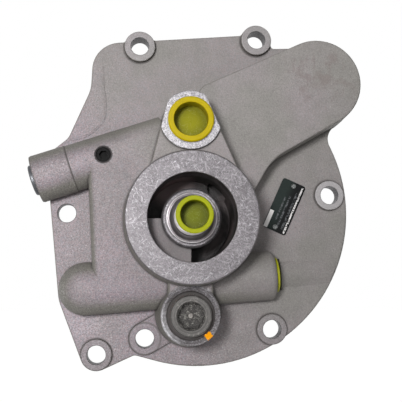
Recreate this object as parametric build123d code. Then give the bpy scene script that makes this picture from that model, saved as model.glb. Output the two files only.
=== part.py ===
from build123d import *
import math
import os

# A tractor's hydraulic gear pump: a cast cover with a filter head, valves and ports, and the gear
# pump bolted behind it. Everything is modelled lying on the cover's mounting face: x to the right
# and y up as one faces the filter, z out towards the filter. At the end it is stood upright.

# Cover flange
flange_thickness = 11.0
flange_edge_round = 1.5
flange_arc_radius = 129.6
flange_arc_centre = (7.5, 9.7)
lobe_centre = (108.3, 117.2)
lobe_radius = 37.0
lobe_foot = 1.0
lobe_notch_radius = 13.5
rear_recess_depth = 4.0
rear_rim_width = 17.0
rear_pad_wall = 7.0
cast_draft = 2.0

# Outlines as belts laid round circles (x, y, radius), anticlockwise. A negative radius bends inwards.
flange_left_circles = [
    (64.0, 154.2, -1.0),
    (58.9, 164.9, 1.0),
    (-58.5, 131.3, 24.5),
    (-114.5, 121.0, -31.0),
    (-113.6, 79.7, -14.0),
    (-114.0, 53.5, 6.0),
    (-78.0, -58.0, 30.0),
]
recess_circles = [
    (88.0, 96.0, 12.0),
    (52.0, 138.0, 6.0),
    (-57.0, 130.0, 11.0),
    (-80.0, 112.0, -12.0),
    (-96.0, 50.0, 6.0),
    (-92.0, -54.0, 4.0),
    (-72.0, -92.0, 6.0),
]
plateau_circles = [
    (-15.0, -45.0, 8.0),
    (-15.0, 66.0, 8.0),
    (-73.5, 48.0, 10.0),
    (-68.0, -44.0, 10.0),
]
arm_circles = [
    (16.0, 106.0, 8.2),
    (2.0, 75.0, 8.0),
    (30.0, 6.0, 10.7),
]
tower_circles = [
    (5.9, 93.1, 6.0),
    (-1.2, 80.7, 20.0),
    (-6.9, 84.8, 14.0),
    (-20.0, 20.0, 17.0),
    (24.0, 20.0, 19.0),
]

# Mounting bolt holes: where they are, the radius of the pad round each and its height. A hole on
# the round edge is given by its angle about the arc's centre and its distance outside the arc.
bolt_hole_radius = 7.75
tall_pad_height = 15.0
low_pad_height = 13.0
pad_round = 0.8
top_left_bolt = (-42.3, 151.3)
top_right_bolt = (58.9, 159.6)
right_bolt_place = (7.088, -14.521)
lower_right_bolt_place = (-57.659, -11.832)
lower_middle_bolt_place = (-112.218, -14.559)
lower_left_bolt_place = (-124.815, 15.954)
left_bolt = (-101.9, 7.0)
tall_pad_radius = 13.8
low_pad_radius = 13.2
corner_radius = 13.4
corner_notch_place = (-112.311, 6.056)
corner_notch_radius = 5.0

# Filter head
ring_height = 68.0
ring_outer_radius = 52.2
ring_inner_radius = 35.0
ring_chamfer = 0.8
ring_draft = 4.2
filter_cavity_floor = 14.0
filter_web_height = 50.0
nipple_boss_radius = 23.8
nipple_boss_height = 55.5
nipple_boss_chamfer = 1.6

# Filter nipple and its cap
nipple_thread_radius = 14.3
nipple_bore_radius = 11.9
nipple_collar_radius = 20.3
nipple_collar_height = 2.5
nipple_flare_height = 10.0
nipple_end_height = 87.0
nipple_screw_radius = 17.0
nipple_screw_depth = 20.0
nipple_cap_rim_radius = 14.2
nipple_cap_recess_radius = 10.7
nipple_cap_rim_height = 2.0
nipple_cap_depth = 13.0

# Upper port
port_centre = (-1.2, 77.2)
port_face_centre = (-1.2, 78.2)
port_face_radius = 24.5
port_face_height = 62.0
port_bore_radius = 15.1
port_thread_depth = 20.0
port_drilling_radius = 9.0
tower_height = 59.0
tower_draft = 2.5
tower_round = 1.2
port_cap_flange_radius = 18.2
port_cap_flange_height = 3.4
port_cap_recess_radius = 13.5
port_cap_depth = 12.0
cap_wall = 1.2
cap_fit = 0.1

# Plateau between the filter ring, the valve cylinder and the gallery
plateau_height = 39.45
plateau_round = 8.0

# Suction arm and its trough, open at the back
arm_height = 34.0
arm_round = 1.5
arm_hollow_centre = (102.0, 19.0)
arm_hollow_radius = 45.0
trough_roof = 6.0
trough_wall = 7.0
trough_end = (27.0, 29.0)
trough_end_radius = 11.0
trough_floor_radius = 44.0
trough_floor_thickness = 7.0

# Pressure gallery with its domed end and side port
gallery_axis_height = 19.0
gallery_dome_centre = (-84.9, -55.8)
gallery_mouth_centre = (71.5, -44.4)
gallery_radius = 21.6
gallery_mouth_radius = 20.6
gallery_bore_radius = 10.0
gallery_blind_wall = 12.0
gallery_end_round = 5.0
gallery_tip_radius = 1.0
side_port_radius = 12.1
side_port_depth = 18.0
side_cap_flange_radius = 14.6
side_cap_flange_height = 2.6
side_cap_depth = 10.0
side_spot_face_width = 7.0
side_spot_face_wall = 3.0
side_rib_end = (128.5, -41.6)
side_rib_start_half_width = 10.5
side_rib_start_rise = 3.9
side_rib_end_half_width = 6.5
side_rib_end_rise = 0.6

# Valve cylinder, spool, its spring and plugs
valve_end_centre = (-126.3, 33.8)
valve_angle = 18.5
valve_axis_height = 20.0
valve_radius = 19.5
valve_collar_step = 0.4
valve_collar_length = 30.0
valve_length = 112.0
valve_plug_radius = 10.0
valve_plug_depth = 15.0
valve_plug_collar_radius = 12.8
valve_plug_collar_height = 2.4
valve_plug_socket = 10.0
valve_plug_socket_depth = 6.0
valve_washer_thickness = 1.0
spool_radius = 8.0
spool_clearance = 0.05
spool_bore_end = 92.0
spool_length = 50.0
spool_land_groove = 2.6
spool_drain_radius = 3.0
spool_drain_distance = 31.0
spool_bore_radius = 4.0
spool_spigot = (3.6, 4.0)
feed_distance = 70.0
plug_hole_depth = 9.5
spool_spring_wire = 1.6
spool_spring_radius = 5.2
spool_spring_turns = 9
gallery_plug_distance = 58.6
gallery_plug_radius = 6.0
gallery_plug_length = 8.0
gallery_plug_sink = 1.0
gallery_plug_socket = 6.0
gallery_plug_socket_depth = 4.0
drilling_radius = 5.0

# Relief valve under the bottom plug
relief_centre = (-0.3, -76.3)
relief_boss_radius = 23.2
relief_boss_height = 52.0
relief_boss_draft = 6.0
relief_neck_half_width = 18.0
relief_neck_sink = 2.0
relief_neck_round = 4.0
relief_recess_radius = 18.7
relief_recess_depth = 3.2
relief_rim_chamfer = 3.4
relief_chamber_radius = 12.0
relief_chamber_floor = 16.0
relief_plug_head_radius = 16.3
relief_plug_head_height = 5.0
relief_plug_thread_length = 11.0
relief_plug_socket = 19.0
relief_plug_socket_depth = 7.0
relief_socket_lead = 2.1
relief_socket_web = 1.5
relief_nub_radius = 2.4
relief_nub_height = 1.8
relief_seal_thickness = 1.0
relief_seat_thickness = 5.0
relief_seat_bore = 4.5
relief_seat_chamfer = 1.5
relief_stem_radius = 5.5
relief_poppet_radius = 9.0
relief_poppet_rim = 2.0
relief_seat_gap = 0.15
relief_lift = 4.0
relief_spring_wire = 1.8
relief_spring_radius = 7.4
relief_spring_turns = 4
relief_vent_radius = 4.0
relief_vent_reach = 8.0
vent_angle = math.radians(-35.0)

# Nameplate
plate_centre = (82.5, 14.0)
plate_angle = 65.7
plate_length = 46.0
plate_width = 21.2
plate_thickness = 0.7
plate_corner = 2.2
plate_pin_radius = 1.2
plate_pin_head_radius = 2.1
plate_pin_height = 0.6
plate_pin_length = 5.0
plate_pin_inset = (19.4, -0.3)

# Gear pump behind the cover
tooth_count = 12
tooth_module = 3.25
pressure_angle = 25.0
tooth_backlash = 0.12
gear_width = 26.0
block_length = 22.0
running_clearance = 0.06
journal_clearance = 0.05
journal_end_gap = 2.0
journal_radius = 9.0
bush_wall = 1.75
body_bolt_radius = 4.0
body_bolt_clearance = 0.5
body_bolt_depth = 16.0
upper_body_bolt = (41.0, 4.2)
lower_body_bolt_x = 32.0
lower_body_bolt_wall = 2.6
body_corner_radius = 11.0
body_gear_wall = 10.2
pump_port_radius = 7.5
port_slot_width = 12.0
seal_groove_width = 2.6
seal_groove_depth = 1.8
seal_groove_wall = 2.0
dowel_radius = 3.0
dowel_length = 14.0
upper_dowel = (-28.0, 6.0)
lower_dowel = (14.0, -68.5)

# Rear cover, shaft and input gear
rear_cover_thickness = 18.0
pilot_radius = 26.0
pilot_height = 9.0
shaft_seal_radius = 16.0
shaft_seal_width = 7.0
circlip_thickness = 1.5
circlip_width = 2.6
circlip_gap = 5.0
circlip_lug_radius = 2.0
circlip_lug_hole_radius = 0.9
shaft_hole_clearance = 0.5
gear_seat_radius = 8.0
gear_gap = 5.0
input_tooth_count = 29
input_module = 3.0
input_pressure_angle = 20.0
input_gear_width = 22.0
input_web_thickness = 10.0
input_hub_radius = 17.0
input_rim_radius = 34.5
input_hole_radius = 6.5
input_hole_count = 5
shaft_thread_radius = 6.0
key_size = 5.0
key_sink = 3.0
key_length = 16.0
washer_radius = 12.0
washer_thickness = 2.5
nut_height = 10.0
nut_across_flats = 19.0
bolt_head_height = 8.0
bolt_head_across_flats = 13.0
bolt_washer_radius = 8.0
bolt_washer_thickness = 1.6

# Small slack that keeps screwed and pressed pieces from cutting into each other
fit_slack = 0.05
lead_chamfer = 0.8

overcut = 1.0


def tangent_angle(first, second):
    # Angle of the outward normal on the line that touches both circles, taken anticlockwise
    dx = second[0] - first[0]
    dy = second[1] - first[1]
    lean = (first[2] - second[2]) / math.hypot(dx, dy)
    return math.atan2(dy, dx) - math.acos(max(-1.0, min(1.0, lean)))


def rim_point(circle, angle):
    return Vector(circle[0] + circle[2] * math.cos(angle), circle[1] + circle[2] * math.sin(angle))


def belt(circles):
    # Face inside a belt laid round the circles (x, y, radius), anticlockwise. Where a radius is
    # negative the belt passes on the circle's other side and bends inwards.
    count = len(circles)
    leaving = [tangent_angle(circles[i], circles[(i + 1) % count]) for i in range(count)]
    edges = []
    for i, circle in enumerate(circles):
        arriving = leaving[i - 1]
        turn = (leaving[i] - arriving) % (2 * math.pi)
        if circle[2] < 0:
            turn -= 2 * math.pi
        start = rim_point(circle, arriving)
        middle = rim_point(circle, arriving + turn / 2)
        end = rim_point(circle, arriving + turn)
        edges.append(ThreePointArc(start, middle, end))
        following = rim_point(circles[(i + 1) % count], leaving[i])
        if (following - end).length > 1e-4:
            edges.append(Line(end, following))
    return make_face(edges)


def nook(first, second, radius, gap=0.02):
    # Inward-bending circle that touches two circles, for a belt that goes from first to second
    reach = math.hypot(second[0] - first[0], second[1] - first[1])
    near = first[2] + radius + gap
    far = second[2] + radius + gap
    along = (near**2 - far**2 + reach**2) / (2 * reach)
    aside = math.sqrt(near**2 - along**2)
    ux = (second[0] - first[0]) / reach
    uy = (second[1] - first[1]) / reach
    return (first[0] + along * ux + aside * uy, first[1] + along * uy - aside * ux, -radius)


def grown(circles, amount):
    return [(x, y, radius + amount) for x, y, radius in circles]


def wall(circles, bottom, top, draft=cast_draft):
    # Upright wall on a belt. The belt is the outline at the top, and the draft widens the foot.
    spread = (top - bottom) * math.tan(math.radians(draft))
    foot = Pos(0, 0, bottom) * belt(grown(circles, spread))
    head = Pos(0, 0, top) * belt(circles)
    return loft([foot, head], ruled=True)


def post(centre, radius, bottom, top, draft=0.0):
    foot = radius + (top - bottom) * math.tan(math.radians(draft))
    low = (Align.CENTER, Align.CENTER, Align.MIN)
    if draft:
        shape = Cone(foot, radius, top - bottom, align=low)
    else:
        shape = Cylinder(radius, top - bottom, align=low)
    return Pos(centre[0], centre[1], bottom) * shape


def ring(centre, outer, inner, bottom, top):
    return post(centre, outer, bottom, top) - post(centre, inner, bottom - overcut, top + overcut)


def rod(start, end, radius, end_radius=None):
    # Round bar, or a tapered one, between two points
    start = Vector(*start)
    end = Vector(*end)
    length = (end - start).length
    low = (Align.CENTER, Align.CENTER, Align.MIN)
    if end_radius is None:
        shape = Cylinder(radius, length, align=low)
    else:
        shape = Cone(radius, end_radius, length, align=low)
    return Plane(origin=start, z_dir=end - start) * shape


def together(shapes):
    # Several separate solids as one node
    return Compound([solid for shape in shapes for solid in shape.solids()])


def below_face(height):
    # Everything behind this height, as a block to cut with
    top = (Align.CENTER, Align.CENTER, Align.MAX)
    return Pos(0, 0, height) * Box(4 * flange_arc_radius, 4 * flange_arc_radius, flange_arc_radius, align=top)


def flat_edges(shape, height):
    # Edges of the face that lies level at this height
    return shape.edges().filter_by_position(Axis.Z, height - 0.01, height + 0.01)


def rounded_top(shape, height, radius):
    return fillet(flat_edges(shape, height), radius)


def hexagon_post(across_flats, bottom, top, centre=(0, 0)):
    face = RegularPolygon(across_flats / 2, 6, major_radius=False)
    return Pos(centre[0], centre[1], bottom) * extrude(face, top - bottom)


def coil(wire, mean_radius, bottom, top, turns):
    # Round-wire compression spring standing on z
    rise = (top - bottom - wire) / turns
    path = Helix(rise, top - bottom - wire, mean_radius)
    section = Plane(origin=path @ 0, z_dir=path % 0) * Circle(wire / 2)
    return Pos(0, 0, bottom + wire / 2) * sweep(section, path=path, is_frenet=True)


def off_the_arc(angle, distance):
    # Point at this angle about the flange arc's centre, this far outside the arc
    point = rim_point((*flange_arc_centre, flange_arc_radius + distance), math.radians(angle))
    return (point.X, point.Y)


right_bolt = off_the_arc(*right_bolt_place)
lower_right_bolt = off_the_arc(*lower_right_bolt_place)
lower_middle_bolt = off_the_arc(*lower_middle_bolt_place)
lower_left_bolt = off_the_arc(*lower_left_bolt_place)
disc_circle = (*flange_arc_centre, flange_arc_radius)
lobe_circle = (*lobe_centre, lobe_radius + lobe_foot)
lobe_notch_circle = nook(disc_circle, lobe_circle, lobe_notch_radius)
corner_circle = (*lower_left_bolt, corner_radius)
corner_notch_circle = (*off_the_arc(*corner_notch_place), -corner_notch_radius)
flange_belt = [disc_circle, lobe_notch_circle, lobe_circle]
flange_belt += flange_left_circles + [corner_circle, corner_notch_circle]
tall_bolts = [top_left_bolt, top_right_bolt]
low_bolts = [right_bolt, lower_right_bolt, lower_left_bolt, lower_middle_bolt]
all_bolts = tall_bolts + low_bolts + [left_bolt]

ring_centre = (0.0, 0.0)


def on_plate(along, across):
    # Point on the nameplate, counted from its centre along its long and its short side
    lean = math.radians(plate_angle)
    x = plate_centre[0] + along * math.cos(lean) - across * math.sin(lean)
    y = plate_centre[1] + along * math.sin(lean) + across * math.cos(lean)
    return (x, y)


plate_pins = [on_plate(*plate_pin_inset), on_plate(-plate_pin_inset[0], -plate_pin_inset[1])]
valve_direction = Vector(math.cos(math.radians(valve_angle)), math.sin(math.radians(valve_angle)))


def on_valve(distance, height=valve_axis_height):
    # Point this far along the valve cylinder's axis from its end face
    x = valve_end_centre[0] + distance * valve_direction.X
    y = valve_end_centre[1] + distance * valve_direction.Y
    return (x, y, height)


def on_gallery(x):
    # Point on the gallery's axis at this x
    slope = (gallery_mouth_centre[1] - gallery_dome_centre[1]) / (
        gallery_mouth_centre[0] - gallery_dome_centre[0]
    )
    return (x, gallery_dome_centre[1] + slope * (x - gallery_dome_centre[0]), gallery_axis_height)


# Solid outside of the cover, feature by feature

def flange():
    plate = belt(flange_belt)
    for bolt in tall_bolts:
        towards = math.degrees(math.atan2(-bolt[1], -bolt[0]))
        plate += Pos(*bolt) * (Rot(0, 0, towards) * Circle(tall_pad_radius))
    crossings = []
    for corner in plate.vertices():
        for bolt in tall_bolts:
            reach = math.hypot(corner.X - bolt[0], corner.Y - bolt[1])
            if abs(reach - tall_pad_radius) < 0.01:
                crossings.append(corner)
    plate = fillet(crossings, 3.0)
    slab = extrude(plate, flange_thickness)
    return rounded_top(slab, flange_thickness, flange_edge_round)


def bolt_pads():
    pads = []
    for bolt in tall_bolts:
        pads.append(post(bolt, tall_pad_radius - 0.6, 1.0, tall_pad_height, 1.5))
    for bolt in [right_bolt, lower_right_bolt, lower_left_bolt]:
        pads.append(post(bolt, low_pad_radius - 0.4, 1.0, low_pad_height, 1.5))
    return [rounded_top(pad, pad.bounding_box().max.Z, pad_round) for pad in pads]


def lower_tab():
    circles = [(*lower_middle_bolt, low_pad_radius), (*relief_centre, low_pad_radius)]
    tab = wall(circles, 1.0, low_pad_height)
    return rounded_top(tab, low_pad_height, pad_round)


def plateau():
    block = wall(plateau_circles, 1.0, plateau_height)
    return rounded_top(block, plateau_height, plateau_round)


def valve_cylinder():
    body = rod(on_valve(0), on_valve(valve_length), valve_radius)
    collar = rod(on_valve(0), on_valve(valve_collar_length), valve_radius + valve_collar_step)
    collar = chamfer(collar.edges().filter_by(GeomType.CIRCLE).group_by(Axis.X)[0], 1.0)
    return body + collar


def gallery():
    # Round passage with a domed left end and a rounded mouth, turned about its own axis
    length = math.dist(gallery_dome_centre, gallery_mouth_centre)
    lean = math.atan2(
        gallery_mouth_centre[1] - gallery_dome_centre[1], gallery_mouth_centre[0] - gallery_dome_centre[0]
    )
    dome = (-gallery_radius * math.sqrt(0.5), gallery_radius * math.sqrt(0.5))
    tip = -math.sqrt(gallery_radius**2 - gallery_tip_radius**2)
    shoulder = gallery_end_round * (1 - math.sqrt(0.5))
    profile = make_face([
        Line((length, 0), (tip, 0)),
        Line((tip, 0), (tip, gallery_tip_radius)),
        ThreePointArc((tip, gallery_tip_radius), dome, (0, gallery_radius)),
        Line((0, gallery_radius), (length - gallery_end_round, gallery_mouth_radius)),
        ThreePointArc(
            (length - gallery_end_round, gallery_mouth_radius),
            (length - shoulder, gallery_mouth_radius - shoulder),
            (length, gallery_mouth_radius - gallery_end_round),
        ),
        Line((length, gallery_mouth_radius - gallery_end_round), (length, 0)),
    ])
    turned = revolve(profile, Axis.X)
    turned = Pos(*gallery_dome_centre, gallery_axis_height) * (Rot(0, 0, math.degrees(lean)) * turned)
    return turned - below_face(1.0)


def side_rib():
    # Low hump that starts at the gallery's mouth and runs out at the flange's edge
    ends = [
        (gallery_mouth_centre, side_rib_start_half_width, side_rib_start_rise),
        (side_rib_end, side_rib_end_half_width, side_rib_end_rise),
    ]
    ahead = Vector(*side_rib_end) - Vector(*gallery_mouth_centre)
    sections = []
    for place, half_width, rise in ends:
        radius = (half_width**2 + rise**2) / (2 * rise)
        middle = (*place, flange_thickness + rise - radius)
        sections.append(Plane(origin=middle, z_dir=ahead) * Circle(radius))
    hump = loft(sections, ruled=True) - below_face(1.0)
    return hump & extrude(belt(grown(flange_belt, -flange_edge_round)), tall_pad_height)


arm_belt = [(*lobe_centre, lobe_radius)] + arm_circles + [(*arm_hollow_centre, -arm_hollow_radius)]


def arm():
    block = wall(arm_belt, 1.0, arm_height)
    return rounded_top(block, arm_height, arm_round)


def filter_ring():
    outside = post(ring_centre, ring_outer_radius, 1.0, ring_height, ring_draft)
    return chamfer(flat_edges(outside, ring_height), ring_chamfer)


def port_tower():
    # Tapered tower with straight flanks. Round the port it keeps its full height as a machined face.
    tower = wall(tower_circles, 1.0, port_face_height, tower_draft)
    tower -= ring(port_face_centre, flange_arc_radius, port_face_radius, tower_height, port_face_height)
    step = tower.faces().filter_by(GeomType.CYLINDER).edges()
    return fillet(flat_edges(tower, tower_height) - step, tower_round)


def relief_boss():
    boss = post(relief_centre, relief_boss_radius, 1.0, relief_boss_height, relief_boss_draft)
    boss = chamfer(flat_edges(boss, relief_boss_height), 1.0)
    neck_length = -relief_centre[1]
    neck_middle = (relief_centre[0], relief_centre[1] / 2)
    neck_top = relief_boss_height - relief_neck_sink
    neck = Box(
        2 * relief_neck_half_width, neck_length, neck_top, align=(Align.CENTER, Align.CENTER, Align.MIN)
    )
    neck = fillet(neck.edges().filter_by(Axis.Y).group_by(Axis.Z)[-1], relief_neck_round)
    return boss + Pos(*neck_middle, 1.0) * neck


# Hollows of the cover

trough_belt = [
    (*lobe_centre, lobe_radius - trough_wall),
    (*trough_end, trough_end_radius),
    (*arm_hollow_centre, -arm_hollow_radius - trough_wall),
]
gear_middle = (0.0, on_gallery(0)[1] / 2)
gear_spacing = tooth_count * tooth_module
gear_tip_radius = gear_spacing / 2 + tooth_module
gear_bore_radius = gear_tip_radius + running_clearance
drive_centre = (gear_middle[0] + gear_spacing / 2, gear_middle[1])
driven_centre = (gear_middle[0] - gear_spacing / 2, gear_middle[1])
body_wall_radius = gear_bore_radius + body_gear_wall


def below_gallery(x):
    # Screw place that just clears the gallery's bore
    return (x, on_gallery(x)[1] - gallery_bore_radius - body_bolt_radius - lower_body_bolt_wall)


lower_right_screw = below_gallery(lower_body_bolt_x)
lower_left_screw = below_gallery(-lower_body_bolt_x)
pump_body_belt = [
    (*drive_centre, body_wall_radius),
    (*upper_body_bolt, body_corner_radius),
    (-upper_body_bolt[0], upper_body_bolt[1], body_corner_radius),
    (*driven_centre, body_wall_radius),
    (*lower_left_screw, body_corner_radius),
    (*lower_right_screw, body_corner_radius),
]
body_bolts = [
    upper_body_bolt,
    (-upper_body_bolt[0], upper_body_bolt[1]),
    lower_right_screw,
    lower_left_screw,
]
inlet_centre = (0.0, 0.0)
outlet_centre = on_gallery(0)[:2]


def rear_recess():
    # Shallow pocket in the back, inside the machined rim and clear of every pad
    pocket = belt([(*flange_arc_centre, flange_arc_radius - rear_rim_width)] + recess_circles)
    for bolt in all_bolts:
        pocket -= Pos(*bolt) * Circle(bolt_hole_radius + rear_pad_wall)
    pocket -= belt(grown(trough_belt, trough_wall))
    pocket -= belt(grown(pump_body_belt, 3.0))
    pocket -= Pos(*relief_centre) * Circle(relief_chamber_radius + trough_wall)
    pocket -= Pos(*gallery_mouth_centre) * Circle(side_cap_flange_radius + side_spot_face_wall)
    return extrude(pocket, rear_recess_depth)


def filter_cavity():
    # Deep on the suction side, with a shallow web in the lower left quarter
    mouth = ring_height + overcut
    deep = ring(ring_centre, ring_inner_radius, nipple_boss_radius, filter_cavity_floor, mouth)
    deep &= post(ring_centre, ring_inner_radius, filter_cavity_floor, mouth)
    web = Box(
        ring_inner_radius, ring_inner_radius, filter_web_height, align=(Align.MAX, Align.MAX, Align.MIN)
    )
    bevel = post(ring_centre, ring_inner_radius, nipple_boss_height - nipple_boss_chamfer, nipple_boss_height)
    bevel -= Pos(*ring_centre, nipple_boss_height - nipple_boss_chamfer) * Cone(
        nipple_boss_radius,
        nipple_boss_radius - nipple_boss_chamfer,
        nipple_boss_chamfer,
        align=(Align.CENTER, Align.CENTER, Align.MIN),
    )
    return deep - web + bevel + post(ring_centre, ring_inner_radius, nipple_boss_height, mouth)


def cavities():
    hollows = [rear_recess(), filter_cavity()]
    # The trough is open at the back, apart from a floor under the filter cavity
    trough_floor = post(ring_centre, trough_floor_radius, -2 * overcut, trough_floor_thickness)
    hollows.append(wall(trough_belt, -overcut, arm_height - trough_roof, 0.5) - trough_floor)
    for bolt in all_bolts:
        hollows.append(post(bolt, bolt_hole_radius, -overcut, tall_pad_height + overcut))
    # Nipple: threaded mouth, then a plain bore through to the pump's inlet
    hollows.append(
        post(inlet_centre, nipple_screw_radius, nipple_boss_height - nipple_screw_depth, ring_height)
    )
    hollows.append(post(inlet_centre, nipple_bore_radius, filter_cavity_floor, ring_height))
    hollows.append(post(inlet_centre, pump_port_radius, -overcut, filter_cavity_floor + overcut))
    # Upper port, down to the end of the spool bore
    hollows.append(
        post(port_centre, port_bore_radius, port_face_height - port_thread_depth, port_face_height + overcut)
    )
    drilling_floor = valve_axis_height - drilling_radius - 1.0
    hollows.append(post(port_centre, port_drilling_radius, drilling_floor, port_face_height))
    # Gallery, its side port and the pump's outlet
    mouth = on_gallery(gallery_mouth_centre[0])
    blind = on_gallery(gallery_dome_centre[0] + gallery_blind_wall)
    hollows.append(rod(blind, mouth, gallery_bore_radius))
    inner_end = on_gallery(gallery_mouth_centre[0] - side_port_depth)
    outer_end = on_gallery(gallery_mouth_centre[0] + overcut)
    hollows.append(rod(inner_end, outer_end, side_port_radius))
    spot_end = on_gallery(gallery_mouth_centre[0] + side_spot_face_width)
    hollows.append(rod(mouth, spot_end, side_cap_flange_radius + 1.0))
    hollows.append(post(outlet_centre, pump_port_radius, -overcut, gallery_axis_height))
    # Spool bore with its threaded mouth, its feed from the gallery and its way to the upper port
    hollows.append(rod(on_valve(-overcut), on_valve(valve_plug_depth + 3.0), valve_plug_radius + fit_slack))
    hollows.append(rod(on_valve(0), on_valve(spool_bore_end), spool_radius + spool_clearance))
    port_point = (*port_centre, valve_axis_height)
    hollows.append(rod(on_valve(spool_bore_end - overcut), port_point, drilling_radius))
    feed_top = on_valve(feed_distance)
    feed_foot = on_gallery(feed_top[0])
    hollows.append(rod(feed_foot, feed_top, drilling_radius))
    plug_point = on_valve(gallery_plug_distance)
    hollows.append(
        post(plug_point, gallery_plug_radius + fit_slack, plateau_height - plug_hole_depth, ring_height)
    )
    hollows.append(post(plug_point, spool_drain_radius, valve_axis_height, plateau_height))
    drain = on_valve(spool_drain_distance)
    hollows.append(post(drain, spool_drain_radius, -overcut, valve_axis_height))
    # Relief valve: recess, threaded chamber, feed from the gallery and vent to the back
    top = relief_boss_height
    hollows.append(post(relief_centre, relief_recess_radius, top - relief_recess_depth, top + overcut))
    rim_cut = Pos(*relief_centre, top - relief_rim_chamfer) * Cone(
        relief_recess_radius,
        relief_recess_radius + relief_rim_chamfer,
        relief_rim_chamfer,
        align=(Align.CENTER, Align.CENTER, Align.MIN),
    )
    hollows.append(rim_cut)
    hollows.append(post(relief_centre, relief_chamber_radius + fit_slack, relief_chamber_floor, top))
    feed_height = relief_chamber_floor - drilling_radius + 2.0
    feed_start = (relief_centre[0], relief_centre[1], feed_height)
    hollows.append(rod(feed_start, (relief_centre[0], outlet_centre[1], feed_height), relief_seat_bore))
    hollows.append(post(relief_centre, relief_seat_bore, feed_height, relief_chamber_floor + overcut))
    vent = rim_point((*relief_centre, relief_chamber_radius), vent_angle)
    vent_top = relief_chamber_floor + relief_seat_thickness + relief_vent_reach
    hollows.append(post((vent.X, vent.Y), relief_vent_radius, -overcut, vent_top))
    # Screw and dowel holes for the pump body
    for bolt in body_bolts:
        hollows.append(post(bolt, body_bolt_radius + fit_slack, -overcut, body_bolt_depth))
    for dowel in [upper_dowel, lower_dowel]:
        hollows.append(post(dowel, dowel_radius + fit_slack, -overcut, dowel_length / 2 + 1.0))
    # Drive-pin holes of the nameplate
    for pin in plate_pins:
        depth = flange_thickness - plate_pin_length
        hollows.append(post(pin, plate_pin_radius + fit_slack, depth, flange_thickness + overcut))
    return hollows


def outside():
    features = bolt_pads() + [
        lower_tab(), plateau(), valve_cylinder(), gallery(), side_rib(), arm(), filter_ring()
    ]
    features += [port_tower(), relief_boss()]
    shape = flange()
    for feature in features:
        shape += feature
    return shape


def pump_cover():
    shape = outside()
    for hollow in cavities():
        shape -= hollow
    return shape


# Turned and moulded pieces on the cover

def turned(points):
    # Half profile of (radius, height) points, turned about z
    return revolve(Plane.XZ * make_face(Polyline(*points, close=True)), Axis.Z)


def filter_nipple():
    bottom = nipple_boss_height - nipple_screw_depth + lead_chamfer
    seat = nipple_boss_height
    flare_foot = seat + nipple_collar_height
    flare_top = flare_foot + nipple_flare_height
    screw = nipple_screw_radius - fit_slack
    foot = Polyline(
        (nipple_bore_radius, bottom),
        (screw - lead_chamfer, bottom),
        (screw, bottom + lead_chamfer),
        (screw, seat),
        (nipple_collar_radius, seat),
        (nipple_collar_radius, flare_foot),
    )
    thin = nipple_thread_radius
    flare = Bezier(
        (nipple_collar_radius, flare_foot),
        (thin + 1.0, flare_foot + 0.12 * nipple_flare_height),
        (thin, flare_foot + 0.5 * nipple_flare_height),
        (thin, flare_top),
    )
    head = Polyline(
        (thin, flare_top),
        (thin, nipple_end_height - lead_chamfer),
        (thin - lead_chamfer, nipple_end_height),
        (nipple_bore_radius, nipple_end_height),
        (nipple_bore_radius, bottom),
    )
    profile = make_face([foot, flare, head])
    return revolve(Plane.XZ * profile, Axis.Z)


def cap(flange_radius, flange_height, body_radius, depth, recess_radius):
    # Moulded transport cap: its flange rests on z = 0 and its cup hangs below
    edge = 0.3 * flange_height
    return turned([
        (0, -depth),
        (body_radius - lead_chamfer, -depth),
        (body_radius, lead_chamfer - depth),
        (body_radius, 0),
        (flange_radius - edge, 0),
        (flange_radius, edge),
        (flange_radius, flange_height - edge),
        (flange_radius - edge, flange_height),
        (recess_radius + 0.4, flange_height),
        (recess_radius, flange_height - 0.4),
        (recess_radius, cap_wall - depth),
        (0, cap_wall - depth),
    ])


def nipple_cap():
    plug_radius = nipple_bore_radius - cap_fit
    shape = cap(
        nipple_cap_rim_radius, nipple_cap_rim_height, plug_radius, nipple_cap_depth, nipple_cap_recess_radius
    )
    return Pos(*ring_centre, nipple_end_height) * shape


def upper_port_cap():
    plug_radius = port_bore_radius - cap_fit
    shape = cap(
        port_cap_flange_radius, port_cap_flange_height, plug_radius, port_cap_depth, port_cap_recess_radius
    )
    return Pos(*port_centre, port_face_height) * shape


def side_port_cap():
    plug_radius = side_port_radius - cap_fit
    recess_radius = plug_radius - cap_wall
    shape = cap(side_cap_flange_radius, side_cap_flange_height, plug_radius, side_cap_depth, recess_radius)
    mouth = Vector(*on_gallery(gallery_mouth_centre[0]))
    outwards = mouth - Vector(*on_gallery(gallery_dome_centre[0]))
    return Plane(origin=mouth, z_dir=outwards) * shape


def gallery_plug():
    top = plateau_height - gallery_plug_sink
    point = on_valve(gallery_plug_distance)
    shape = post(point, gallery_plug_radius, top - gallery_plug_length, top)
    shape = chamfer(shape.edges().filter_by(GeomType.CIRCLE), lead_chamfer / 2)
    return shape - hexagon_post(gallery_plug_socket, top - gallery_plug_socket_depth, top + overcut, point)


def nameplate():
    sheet = extrude(RectangleRounded(plate_length, plate_width, plate_corner), plate_thickness)
    sheet = Pos(*plate_centre, flange_thickness) * (Rot(0, 0, plate_angle) * sheet)
    for pin in plate_pins:
        sheet -= post(pin, plate_pin_radius + fit_slack, flange_thickness - overcut, tall_pad_height)
    return sheet


def nameplate_pins():
    plate_top = flange_thickness + plate_thickness
    bottom = plate_top - plate_pin_length
    pins = []
    for pin in plate_pins:
        head = post(pin, plate_pin_head_radius, plate_top, plate_top + plate_pin_height)
        head = fillet(flat_edges(head, plate_top + plate_pin_height), 0.4)
        pins.append(head + post(pin, plate_pin_radius, bottom, plate_top))
    return together(pins)


# Relief valve, from its seat up to its plug

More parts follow.
